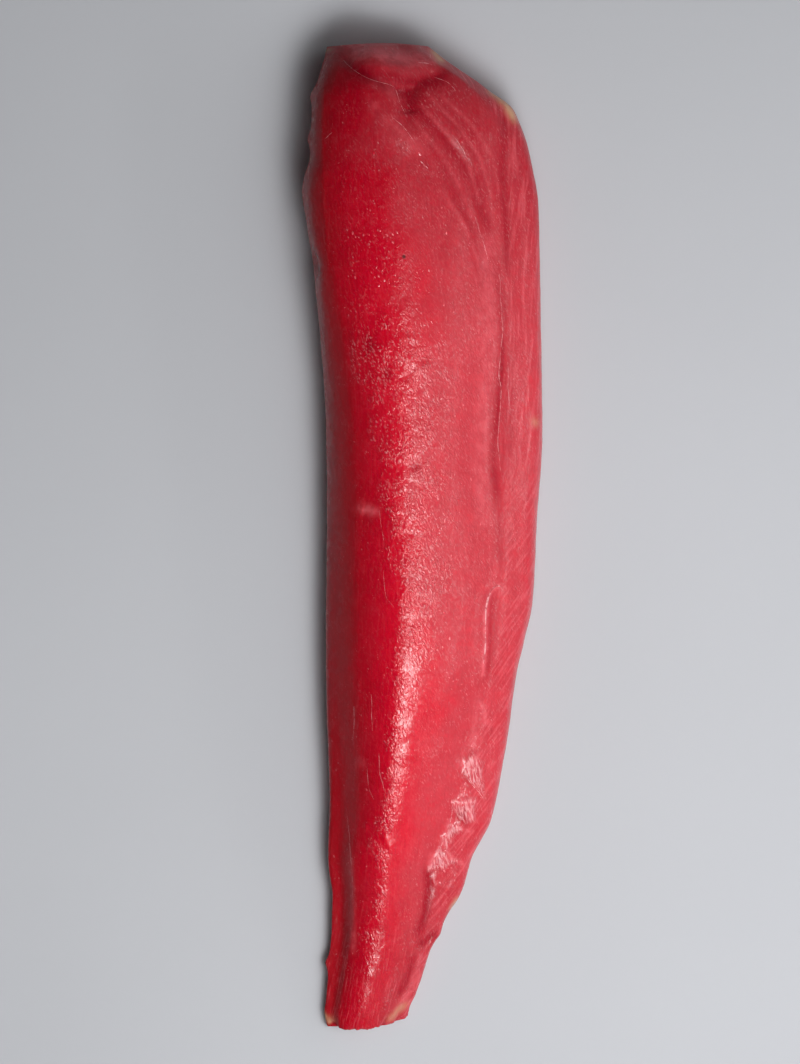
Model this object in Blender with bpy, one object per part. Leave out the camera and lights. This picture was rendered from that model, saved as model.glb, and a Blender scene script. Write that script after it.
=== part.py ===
"""Raw tuna loin: a long quarter fillet, skinned and trimmed, lying on its flat side.

Metres, +Z up. +Y runs from the thin tail end to the blunt head end, and +X points to the
side that carries the thin flap. The origin is on the ground, under the middle of the loin.
"""
import bmesh
import bpy
import numpy as np

NODE_NAME = "tuna_loin"

# Size of the finished loin
LENGTH = 0.560
WIDTH = 0.1365
HEIGHT = 0.067

# The form is drawn in millimetres. Each profile line below is a list of (distance from the
# tail end, value) that is joined by a smooth curve.
DRAWN_LENGTH = 560.0
LEFT_EDGE = [
    (0, -57), (7, -58), (14, -57.2), (30, -55.8), (48, -54.4), (75, -53.3), (97, -55.5),
    (130, -54.5), (210, -57), (300, -56.2), (345, -57), (392, -60), (426, -63.5), (454, -67),
    (474, -69), (486, -68), (497, -65.5), (528, -64.5), (543, -61), (556, -57.5), (560, -56.5),
]
RIGHT_EDGE = [
    (0, -10), (7, -8.6), (14, -6), (22, -4), (30, -1.8), (37, 0.4), (45, 3), (50, 5.8),
    (54, 8.6), (61, 10.8), (67, 13.8), (73, 18), (81, 21.8), (97, 26.5), (120, 38), (165, 47),
    (206, 53), (222, 57), (245, 61.8), (290, 64), (335, 67.2), (437, 65.7), (472, 64.6),
    (494, 61), (506, 57.8), (518, 53), (524, 50.2), (528, 46.5), (533, 39), (540, 29.5),
    (551, 13), (560, 2),
]
CREST_HEIGHT = [
    (0, 13), (8, 17), (20, 20), (52, 26), (75, 32), (120, 44), (160, 52), (222, 59),
    (300, 62), (380, 64), (440, 66), (505, 66), (530, 63), (545, 57), (553, 49), (560, 38),
]
CREST_PLACE = [(0, -38), (30, -32), (75, -25), (130, -21), (210, -16), (300, -16),
               (380, -18), (440, -24), (500, -27), (560, -30)]
SEAM_PLACE = [
    (0, -25), (9, -19), (22, -13), (35, -8.5), (45, -4), (57, -2.5), (73, 0.6), (90, 2),
    (100, 7), (114, 14), (131, 21), (165, 26), (200, 34.5), (225, 38), (256, 41), (290, 41),
    (325, 38.5), (351, 39.5), (380, 43), (405, 44), (430, 42.5), (455, 43), (480, 45),
    (505, 43.5), (522, 37), (540, 20), (551, 4), (560, -6),
]
SEAM_DEPTH = [(0, 0.2), (20, 0.4), (45, 0.6), (130, 0.7), (200, 0.9), (262, 0.8), (300, 0.5),
              (440, 0.5), (480, 0.4), (560, 0.2)]
# How far the left shoulder stands in from the left edge, and how tightly it turns
SHOULDER_INSET = [(0, 5), (60, 7), (130, 9), (250, 8.5), (345, 7), (420, 8), (470, 11),
                  (500, 8), (560, 6)]
SHOULDER_TURN = [(0, 3), (75, 7), (200, 11), (330, 11), (400, 7), (450, 4), (520, 4), (560, 5)]
# Heights as shares of the crest height
SHOULDER_SHARE = [(0, 0.75), (100, 0.70), (250, 0.74), (380, 0.78), (440, 0.83), (500, 0.84),
                  (560, 0.80)]
LEFT_BULGE_SHARE = [(0, 0.45), (200, 0.37), (400, 0.33), (470, 0.28), (560, 0.40)]
RIGHT_BULGE_SHARE = [(0, 0.40), (75, 0.28), (200, 0.20), (500, 0.20), (560, 0.45)]
SLOPE_SHARE = 0.84
LIP_SHARE = [(0, 0.82), (75, 0.70), (160, 0.64), (245, 0.63), (350, 0.61), (470, 0.62),
             (560, 0.82)]
FLAP_SHARE = [(0, 0.60), (75, 0.52), (160, 0.48), (245, 0.47), (350, 0.46), (470, 0.44),
              (560, 0.66)]

# Places of the profile points, as shares of the distance between their neighbours
SLOPE_ACROSS = 0.56
LIP_ACROSS = 0.10
LIP_REACH = 5.0
SEAM_FALL = 0.25
FLAP_INNER_FALL = 0.55
FLAP_INNER_ACROSS = 0.20
FLAP_TOP_ACROSS = 0.50
FLAP_ROUND_ACROSS = 0.86
FLAP_ROUND_RISE = 0.62
SHOULDER_FOOT_ACROSS = 0.72
SHOULDER_TOP_RISE = 0.42
LEAST_LIP_REACH = 1.0
LOW_EDGE_INSET = 3.0
LOW_EDGE_INSET_RIGHT = 2.4
LOW_EDGE_SHARE = 0.34
# How far the flat underside stands in from the edges, as shares of the crest height
CONTACT_LEFT = 0.182
CONTACT_RIGHT = 0.152

# Creases and swellings of the top: (name, path of (across, distance from the tail end),
# half width, rise). A negative rise sinks a crease.
TOP_RELIEF = [
    ("fold crease", [(-50, 555), (-42, 547), (-33, 542), (-25, 538), (-10, 531)], 5.5, -2.6),
    ("fold crease, right arm", [(-10, 531), (-5, 537), (1, 540), (11, 543)], 5.5, -1.2),
    ("folded lobe", [(-38, 553), (-14, 548), (8, 549)], 8.0, 1.6),
    ("dimple", [(-11, 536), (-10, 530), (-9, 519)], 7.0, -2.8),
    ("fan crease", [(-9, 526), (8, 509), (21, 493), (28, 482), (31, 468), (37, 452), (42, 436)],
     4.5, -0.9),
    ("fan ridge", [(2, 526), (20, 507), (34, 488), (40, 464)], 5.0, 0.4),
    ("second fan crease", [(2, 507), (14, 483), (23, 465), (29, 446), (34, 420)], 5.0, -0.5),
    ("film ridge", [(-25, 520), (-14, 507), (-5, 498)], 5.5, 0.7),
    ("rim crease", [(43, 524), (45, 510), (44, 492), (45, 470)], 4.0, -1.2),
    ("seam lip", [(43, 254), (36, 248), (33, 236), (34, 224), (32, 208), (30, 192)], 3.5, 1.0),
    ("flap patch", [(31, 160), (25, 146), (24, 124), (16, 106)], 6.0, 1.4),
    ("patch edge", [(17, 130), (13, 112), (1, 92)], 4.5, -0.5),
    ("flap hollow", [(2, 90), (1, 76), (-3, 60)], 5.0, -0.5),
    ("flap pocket", [(-3, 49), (6, 54)], 4.5, -1.4),
    ("tail crease", [(-6, 42), (-9, 32), (-16, 17)], 5.0, -0.5),
    ("tail gutter", [(-51, 106), (-49, 70), (-47, 35), (-50, 14)], 5.0, -0.6),
    ("tail ridge", [(-43, 100), (-41, 72), (-40, 50)], 5.0, 0.4),
    ("shallow hollow", [(-36, 296), (-30, 295)], 6.0, -1.2),
]
# How strong a crease is at its ends, and over which share of its path it gains full strength
PATH_END_STRENGTH = 0.45
PATH_END_SHARE = 0.25
# The relief of the top starts at this share of the crest height and is full a little higher
RELIEF_FOOT = 0.30
RELIEF_FADE = 0.22

# Pockets and torn bits of the steep left side: (name, distance from the tail end, height,
# half width, outward reach)
SIDE_RELIEF = [
    ("side pocket", 436, 34, 9.0, -3.5),
    ("upper step", 478, 22, 11.0, 1.5),
    ("torn bit", 507, 30, 5.0, 1.6),
    ("torn bit, high", 532, 30, 5.0, 1.8),
    ("small bump", 38, 8, 5.0, 1.5),
]
# The side relief fades in over this width left of this place, and above the ground
SIDE_PLACE = -30.0
SIDE_FADE = 12.0
SIDE_FOOT_FADE = 6.0

# The torn tail end: how far it is cut back, by the place across
TAIL_CUT_BACK = [(-58, 4), (-56, 1), (-52.5, 2.6), (-49, 0.6), (-46, 0), (-31, 0.2),
                 (-25, 2.2), (-19, 3), (-16, 5.4), (-11, 6.8), (-9, 8.5)]
TAIL_CUT_REACH = 28.0

# Faces between the profile points, from the left contact over the top to the right contact
FACES_BETWEEN_POINTS = [2, 3, 3, 3, 7, 7, 6, 3, 3, 3, 3, 3, 2, 2]
FACES_UNDER = 6
# Numbers of the profile points between which the crest is rounded, by averaging neighbours
SHOULDER, LIP = 4, 7
CREST_ROUNDS = 3
HEAD_START = 440.0
RING_GAP_BODY = 7.4
RING_GAP_HEAD = 4.0
END_FACE_RINGS = (0.78, 0.50, 0.24)
HEAD_FACE_BULGE = 1.5
TAIL_FACE_BULGE = 0.6

FLESH_COLOUR = (0.55, 0.028, 0.045, 1.0)
FLESH_ROUGHNESS = 0.30


def along(line, place):
    """Value of a profile line at one place, by a smooth curve that never overshoots."""
    places = [point[0] for point in line]
    values = [point[1] for point in line]
    if place <= places[0]:
        return values[0]
    if place >= places[-1]:
        return values[-1]
    last = len(places) - 1
    steps = [places[i + 1] - places[i] for i in range(last)]
    rates = [(values[i + 1] - values[i]) / steps[i] for i in range(last)]
    index = max(i for i in range(last) if places[i] <= place)

    def slope(i):
        if i in (0, last):
            return rates[0] if i == 0 else rates[-1]
        before, after = rates[i - 1], rates[i]
        if before * after <= 0:
            return 0.0
        return 2 * before * after / (before + after)

    t = (place - places[index]) / steps[index]
    start, end = values[index], values[index + 1]
    pull_start = slope(index) * steps[index]
    pull_end = slope(index + 1) * steps[index]
    return ((2 * t**3 - 3 * t**2 + 1) * start + (t**3 - 2 * t**2 + t) * pull_start
            + (3 * t**2 - 2 * t**3) * end + (t**3 - t**2) * pull_end)


def profile_points(place):
    """The named points of the cross section, from the left contact to the right contact."""
    height = along(CREST_HEIGHT, place)
    left = along(LEFT_EDGE, place)
    right = along(RIGHT_EDGE, place)
    crest = along(CREST_PLACE, place)
    seam = along(SEAM_PLACE, place)
    inset = along(SHOULDER_INSET, place)
    turn = along(SHOULDER_TURN, place)
    shoulder_height = along(SHOULDER_SHARE, place) * height
    left_bulge = along(LEFT_BULGE_SHARE, place) * height
    right_bulge = along(RIGHT_BULGE_SHARE, place) * height
    lip_height = along(LIP_SHARE, place) * height
    flap_height = along(FLAP_SHARE, place) * height
    # The flap carries the slope on, with the seam sunk below that line
    fall = lip_height - flap_height
    seam_height = lip_height - SEAM_FALL * fall - along(SEAM_DEPTH, place)
    flap_inner_height = lip_height - FLAP_INNER_FALL * fall
    flap_width = right - seam
    lip = seam - min(LIP_REACH, LIP_ACROSS * (seam - crest) + LEAST_LIP_REACH)
    return [
        (left + CONTACT_LEFT * height, 0.0),
        (left + LOW_EDGE_INSET, LOW_EDGE_SHARE * left_bulge),
        (left, left_bulge),
        (left + SHOULDER_FOOT_ACROSS * inset, shoulder_height - turn),
        (left + inset + turn, shoulder_height + SHOULDER_TOP_RISE * turn),
        (crest, height),
        (crest + SLOPE_ACROSS * (seam - crest), SLOPE_SHARE * height),
        (lip, lip_height),
        (seam, seam_height),
        (seam + FLAP_INNER_ACROSS * flap_width, flap_inner_height),
        (seam + FLAP_TOP_ACROSS * flap_width, flap_height),
        (seam + FLAP_ROUND_ACROSS * flap_width,
         right_bulge + FLAP_ROUND_RISE * (flap_height - right_bulge)),
        (right, right_bulge),
        (right - LOW_EDGE_INSET_RIGHT, LOW_EDGE_SHARE * right_bulge),
        (right - CONTACT_RIGHT * height, 0.0),
    ]


def profile(place):
    """One closed ring of the loin: a smooth curve over the top and a flat underside."""
    points = np.array(profile_points(place), dtype=float)
    gaps = np.linalg.norm(points[1:] - points[:-1], axis=1)
    rates = (points[1:] - points[:-1]) / gaps[:, None]
    tangents = np.zeros_like(points)
    for i in range(1, len(points) - 1):
        before, after = gaps[i - 1], gaps[i]
        tangents[i] = (rates[i - 1] * after + rates[i] * before) / (before + after)
    tangents[0] = (-1.0, 0.0)
    tangents[-1] = (-1.0, 0.0)
    ring = []
    for i, faces in enumerate(FACES_BETWEEN_POINTS):
        for step in range(faces):
            t = step / faces
            ring.append((2 * t**3 - 3 * t**2 + 1) * points[i]
                        + (t**3 - 2 * t**2 + t) * gaps[i] * tangents[i]
                        + (3 * t**2 - 2 * t**3) * points[i + 1]
                        + (t**3 - t**2) * gaps[i] * tangents[i + 1])
    for step in range(FACES_UNDER):
        t = step / FACES_UNDER
        ring.append(points[-1] * (1 - t) + points[0] * t)
    ring = np.array(ring)
    first, last = sum(FACES_BETWEEN_POINTS[:SHOULDER]), sum(FACES_BETWEEN_POINTS[:LIP])
    for _round in range(CREST_ROUNDS):
        ring[first:last] = (0.5 * ring[first:last] + 0.25 * ring[first - 1:last - 1]
                            + 0.25 * ring[first + 1:last + 1])
    return ring


def near_path(across, distance, path, half_width):
    """How near each point is to a path seen from above: 1 on it, fading to 0 beside it."""
    path = np.array(path, dtype=float)
    reach = np.linalg.norm(path[1:] - path[:-1], axis=1)
    total = reach.sum()
    nearest = np.full(across.shape, np.inf)
    share = np.zeros(across.shape)
    done = 0.0
    for start, end, length in zip(path[:-1], path[1:], reach):
        step = (end - start) / length
        run = (across - start[0]) * step[0] + (distance - start[1]) * step[1]
        run = np.clip(run, 0.0, length)
        gap = np.hypot(across - start[0] - run * step[0], distance - start[1] - run * step[1])
        closer = gap < nearest
        nearest = np.where(closer, gap, nearest)
        share = np.where(closer, (done + run) / total, share)
        done += length
    from_end = np.minimum(share, 1 - share)
    taper = np.clip(from_end / PATH_END_SHARE + PATH_END_STRENGTH, 0.0, 1.0)
    return taper * np.exp(-(nearest / half_width) ** 2)


def ring_places():
    """Distances of the rings from the tail end, closer together at the folded head end."""
    body_rings = round(HEAD_START / RING_GAP_BODY)
    head_rings = round((DRAWN_LENGTH - HEAD_START) / RING_GAP_HEAD)
    body = np.linspace(0.0, HEAD_START, body_rings, endpoint=False)
    head = np.linspace(HEAD_START, DRAWN_LENGTH, head_rings + 1)
    return np.concatenate([body, head])


def drawn_form():
    """Grid of drawn points (ring, point on the ring, x y z) with all the relief."""
    places = ring_places()
    sections = np.array([profile(place) for place in places])
    across = sections[:, :, 0].copy()
    height = sections[:, :, 1].copy()
    distance = np.repeat(places[:, None], across.shape[1], axis=1)

    # The relief of the top fades out towards the ground
    crest = np.array([along(CREST_HEIGHT, place) for place in places])[:, None]
    upper = np.clip((height / crest - RELIEF_FOOT) / RELIEF_FADE, 0.0, 1.0)
    for _name, path, half_width, rise in TOP_RELIEF:
        height = height + rise * upper * near_path(across, distance, path, half_width)

    left_side = (np.clip((SIDE_PLACE - across) / SIDE_FADE, 0.0, 1.0)
                 * np.clip(height / SIDE_FOOT_FADE, 0.0, 1.0))
    for _name, place, level, half_width, reach in SIDE_RELIEF:
        nearness = np.exp(-((distance - place) ** 2 + (height - level) ** 2) / half_width**2)
        across = across - reach * left_side * nearness

    cut_back = np.array([[along(TAIL_CUT_BACK, value) for value in row] for row in across])
    keep = np.clip(1 - distance / TAIL_CUT_REACH, 0.0, 1.0)
    distance = distance + cut_back * keep
    return np.stack([across, distance, height], axis=2)


def end_face(ring, bulge):
    """Inner rings and the middle point of an end face, bulged along +Y or -Y."""
    middle = ring.mean(axis=0)
    inner = []
    for share in END_FACE_RINGS:
        loop = middle + (ring - middle) * share
        loop[:, 1] += bulge * (1 - share**2)
        inner.append(loop)
    return inner, middle + np.array([0.0, bulge, 0.0])


def fitted(points):
    """Drawn points set to the real size, over the origin."""
    low = points.min(axis=0)
    high = points.max(axis=0)
    size = np.array([WIDTH, LENGTH, HEIGHT])
    middle = np.array([(low[0] + high[0]) / 2, (low[1] + high[1]) / 2, low[2]])
    return (points - middle) * size / (high - low)


def build_mesh():
    """Closed mesh of the loin."""
    rings = list(drawn_form())
    tail_rings, tail_middle = end_face(rings[0], -TAIL_FACE_BULGE)
    head_rings, head_middle = end_face(rings[-1], HEAD_FACE_BULGE)
    rings = tail_rings[::-1] + rings + head_rings
    around = len(rings[0])
    points = fitted(np.concatenate(rings + [tail_middle[None], head_middle[None]]))

    form = bmesh.new()
    verts = [form.verts.new(point) for point in points]
    tail_vert, head_vert = verts[-2], verts[-1]
    for row in range(len(rings) - 1):
        for column in range(around):
            following = (column + 1) % around
            form.faces.new((
                verts[row * around + column],
                verts[row * around + following],
                verts[(row + 1) * around + following],
                verts[(row + 1) * around + column],
            ))
    last_row = (len(rings) - 1) * around
    for column in range(around):
        following = (column + 1) % around
        form.faces.new((verts[following], verts[column], tail_vert))
        form.faces.new((verts[last_row + column], verts[last_row + following], head_vert))
    bmesh.ops.recalc_face_normals(form, faces=form.faces)
    bmesh.ops.triangulate(form, faces=form.faces)
    mesh = bpy.data.meshes.new(NODE_NAME)
    form.to_mesh(mesh)
    form.free()
    mesh.shade_smooth()
    return mesh


def flesh_material():
    """Wet red flesh."""
    material = bpy.data.materials.new("wet_red_flesh")
    material.use_nodes = True
    shader = material.node_tree.nodes["Principled BSDF"]
    shader.inputs["Base Color"].default_value = FLESH_COLOUR
    shader.inputs["Roughness"].default_value = FLESH_ROUGHNESS
    shader.inputs["Metallic"].default_value = 0.0
    return material


def main():
    for old in list(bpy.data.objects):
        bpy.data.objects.remove(old, do_unlink=True)
    mesh = build_mesh()
    mesh.materials.append(flesh_material())
    loin = bpy.data.objects.new(NODE_NAME, mesh)
    bpy.context.scene.collection.objects.link(loin)


main()
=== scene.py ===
"""Looks of a raw tuna loin: wet red flesh with its seam, flap, folds, films and torn ends.

The file is laid out as an add-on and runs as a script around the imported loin. The form is
drawn in millimetres, +Y from the tail end to the head end, and then set into the box of the
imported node, in metres.
"""
import math
import random

import bpy
import numpy as np
from bpy.props import FloatProperty, FloatVectorProperty, PointerProperty
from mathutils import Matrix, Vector, noise


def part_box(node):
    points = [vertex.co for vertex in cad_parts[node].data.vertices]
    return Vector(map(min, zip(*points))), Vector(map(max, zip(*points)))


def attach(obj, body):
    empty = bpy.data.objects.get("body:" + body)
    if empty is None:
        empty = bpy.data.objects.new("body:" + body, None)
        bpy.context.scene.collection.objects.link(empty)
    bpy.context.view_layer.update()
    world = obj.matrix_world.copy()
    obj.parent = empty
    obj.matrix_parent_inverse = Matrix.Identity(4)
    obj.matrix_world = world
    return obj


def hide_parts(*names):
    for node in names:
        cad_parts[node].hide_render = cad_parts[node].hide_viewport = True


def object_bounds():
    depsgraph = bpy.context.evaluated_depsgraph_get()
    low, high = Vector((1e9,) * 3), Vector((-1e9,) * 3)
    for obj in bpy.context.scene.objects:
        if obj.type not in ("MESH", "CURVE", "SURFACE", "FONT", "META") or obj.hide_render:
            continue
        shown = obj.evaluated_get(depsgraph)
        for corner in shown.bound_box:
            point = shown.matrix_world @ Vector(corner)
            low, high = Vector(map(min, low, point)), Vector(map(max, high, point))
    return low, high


bl_info = {
    "name": "Raw Tuna Loin",
    "version": (1, 0, 0),
    "blender": (4, 5, 0),
    "location": "3D View > Sidebar > Tuna Loin",
    "description": "Builds a wet raw tuna loin with its films and beads, and a plain studio",
    "category": "Object",
}

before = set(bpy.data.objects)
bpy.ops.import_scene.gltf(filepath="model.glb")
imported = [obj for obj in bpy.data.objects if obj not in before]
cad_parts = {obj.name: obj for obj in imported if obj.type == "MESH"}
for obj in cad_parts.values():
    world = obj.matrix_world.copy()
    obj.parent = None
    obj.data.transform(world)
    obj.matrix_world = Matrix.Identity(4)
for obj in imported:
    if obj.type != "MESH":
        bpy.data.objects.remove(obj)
CAD_LOW, CAD_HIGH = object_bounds()

NODE = "tuna_loin"
BODY = "root"
MM = 0.001
LEAST_LENGTH = 1e-9

# The form is drawn in millimetres. Each profile line is a list of (distance from the tail
# end, value) that is joined by a smooth curve.
DRAWN_LENGTH = 560.0
LEFT_EDGE = [
    (0, -57), (7, -58), (14, -57.2), (30, -55.8), (48, -54.4), (75, -53.3), (97, -55.5),
    (130, -54.5), (210, -57), (300, -56.2), (345, -57), (392, -60), (426, -63.5), (454, -67),
    (474, -69), (486, -68), (497, -65.5), (528, -64.5), (543, -61), (556, -57.5), (560, -56.5),
]
RIGHT_EDGE = [
    (0, -10), (7, -8.6), (14, -6), (22, -4), (30, -1.8), (37, 0.4), (45, 3), (50, 5.8),
    (54, 8.6), (61, 10.8), (67, 13.8), (73, 18), (81, 21.8), (97, 26.5), (120, 38), (165, 47),
    (206, 53), (222, 57), (245, 61.8), (290, 64), (335, 67.2), (437, 65.7), (472, 64.6),
    (494, 61), (506, 57.8), (518, 53), (524, 50.2), (528, 46.5), (533, 39), (540, 29.5),
    (551, 13), (560, 2),
]
CREST_HEIGHT = [
    (0, 13), (8, 17), (20, 20), (52, 26), (75, 32), (120, 44), (160, 52), (222, 59),
    (300, 62), (380, 64), (440, 66), (505, 66), (530, 63), (545, 57), (553, 49), (560, 38),
]
CREST_PLACE = [(0, -38), (30, -32), (75, -25), (130, -21), (210, -16), (300, -16),
               (380, -18), (440, -24), (500, -27), (560, -30)]
SEAM_PLACE = [
    (0, -25), (9, -19), (22, -13), (35, -8.5), (45, -4), (57, -2.5), (73, 0.6), (90, 2),
    (100, 7), (114, 14), (131, 21), (165, 26), (200, 34.5), (225, 38), (256, 41), (290, 41),
    (325, 38.5), (351, 39.5), (380, 43), (405, 44), (430, 42.5), (455, 43), (480, 45),
    (505, 43.5), (522, 37), (540, 20), (551, 4), (560, -6),
]
SEAM_DEPTH = [(0, 0.2), (20, 0.4), (45, 0.6), (130, 0.7), (200, 0.9), (262, 0.8), (300, 0.5),
              (440, 0.5), (480, 0.4), (560, 0.2)]
SHOULDER_INSET = [(0, 5), (60, 7), (130, 9), (250, 8.5), (345, 7), (420, 8), (470, 11),
                  (500, 8), (560, 6)]
SHOULDER_TURN = [(0, 3), (75, 7), (200, 11), (330, 11), (400, 7), (450, 4), (520, 4), (560, 5)]
# Heights as shares of the crest height
SHOULDER_SHARE = [(0, 0.75), (100, 0.70), (250, 0.74), (380, 0.78), (440, 0.83), (500, 0.84),
                  (560, 0.80)]
LEFT_BULGE_SHARE = [(0, 0.45), (200, 0.37), (400, 0.33), (470, 0.28), (560, 0.40)]
RIGHT_BULGE_SHARE = [(0, 0.40), (75, 0.28), (200, 0.20), (500, 0.20), (560, 0.45)]
SLOPE_SHARE = 0.84
LIP_SHARE = [(0, 0.82), (75, 0.70), (160, 0.64), (245, 0.63), (350, 0.61), (470, 0.62),
             (560, 0.82)]
FLAP_SHARE = [(0, 0.60), (75, 0.52), (160, 0.48), (245, 0.47), (350, 0.46), (470, 0.44),
              (560, 0.66)]

# Places of the profile points, as shares of the distance between their neighbours
SLOPE_ACROSS = 0.56
LIP_ACROSS = 0.10
LIP_REACH = 5.0
SEAM_FALL = 0.25
FLAP_INNER_FALL = 0.55
FLAP_INNER_ACROSS = 0.20
FLAP_TOP_ACROSS = 0.50
FLAP_ROUND_ACROSS = 0.86
FLAP_ROUND_RISE = 0.62
SHOULDER_FOOT_ACROSS = 0.72
SHOULDER_TOP_RISE = 0.42
LEAST_LIP_REACH = 1.0
LOW_EDGE_INSET = 3.0
LOW_EDGE_INSET_RIGHT = 2.4
LOW_EDGE_SHARE = 0.34
# How far the flat underside stands in from the edges, as shares of the crest height
CONTACT_LEFT = 0.182
CONTACT_RIGHT = 0.152

# Numbers of the profile points, from the left contact over the top to the right contact
LEFT_BULGE, SHOULDER, CREST, LIP, RIGHT_BULGE = 2, 4, 5, 7, 12
LAST_POINT = 14
FACES_BETWEEN_POINTS = [4, 5, 10, 9, 22, 24, 24, 9, 9, 9, 9, 12, 6, 4]
FACES_UNDER = 12
# The crest is rounded by averaging neighbours this often, with this share from each side
CREST_ROUNDS = 34
NEIGHBOUR_SHARE = 0.25

# Paths that more than one list below uses, as (across, distance from the tail end)
FOLD_LEFT = [(-49, 553), (-42, 547), (-33, 541.5), (-25, 538), (-11, 532)]
FOLD_RIGHT = [(-9, 531), (-5, 537), (2, 541), (12, 544)]
FAN_MIDDLE = [(2, 507), (14, 483), (23, 465), (29, 446), (34, 420)]
HOOK_FOOT = [(29.9, 188.2), (32.7, 182.5), (35.5, 175)]
FLAKE_EDGE = [(22, 147), (26, 141), (33, 132)]
FLAKE_STEP = [(15, 116), (26, 113)]
LEFT_BUMP = [(-37, 297), (-29, 295)]
LEFT_PIT = [(-33, 392), (-31, 386)]
TAIL_NOTCH = [(-3, 49), (6, 54)]
FAN_EDGE = [(-9, 526), (8, 509), (21, 493), (28, 482), (31, 468), (37, 452), (42, 436)]
HOOK = [(45, 251.5), (42, 253), (38.9, 251.8), (36.7, 248.6), (35.1, 243), (34.2, 235.4),
        (34, 227.9), (34.2, 218.4), (33.3, 209), (32.1, 201.4)]

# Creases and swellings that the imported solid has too: (path of (across, distance from the
# tail end), half width, rise). A negative rise sinks a crease.
MAIN_RELIEF = [
    ([(-50, 555), (-42, 547), (-33, 542), (-25, 538), (-10, 531)], 5.5, -2.6),
    ([(-10, 531), (-5, 537), (1, 540), (11, 543)], 5.5, -1.2),
    ([(-38, 553), (-14, 548), (8, 549)], 8.0, 1.6),
    ([(-11, 536), (-10, 530), (-9, 519)], 7.0, -2.8),
    (FAN_EDGE, 4.5, -0.9),
    ([(2, 526), (20, 507), (34, 488), (40, 464)], 5.0, 0.4),
    (FAN_MIDDLE, 5.0, -0.5),
    ([(-25, 520), (-14, 507), (-5, 498)], 5.5, 0.7),
    ([(43, 524), (45, 510), (44, 492), (45, 470)], 4.0, -1.2),
    ([(43, 254), (36, 248), (33, 236), (34, 224), (32, 208), (30, 192)], 3.5, 1.0),
    ([(31, 160), (25, 146), (24, 124), (16, 106)], 6.0, 1.4),
    ([(17, 130), (13, 112), (1, 92)], 4.5, -0.5),
    ([(2, 90), (1, 76), (-3, 60)], 5.0, -0.5),
    (TAIL_NOTCH, 4.5, -1.4),
    ([(-6, 42), (-9, 32), (-16, 17)], 5.0, -0.5),
    ([(-51, 106), (-49, 70), (-47, 35), (-50, 14)], 5.0, -0.6),
    ([(-43, 100), (-41, 72), (-40, 50)], 5.0, 0.4),
    ([(-36, 296), (-30, 295)], 6.0, -1.2),
]
# How strong a crease is at its ends, and over which share of its path it gains full strength
PATH_END_STRENGTH = 0.45
PATH_END_SHARE = 0.25
# The relief of the top starts at this share of the crest height and is full a little higher
RELIEF_FOOT = 0.30
RELIEF_FADE = 0.22
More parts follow.
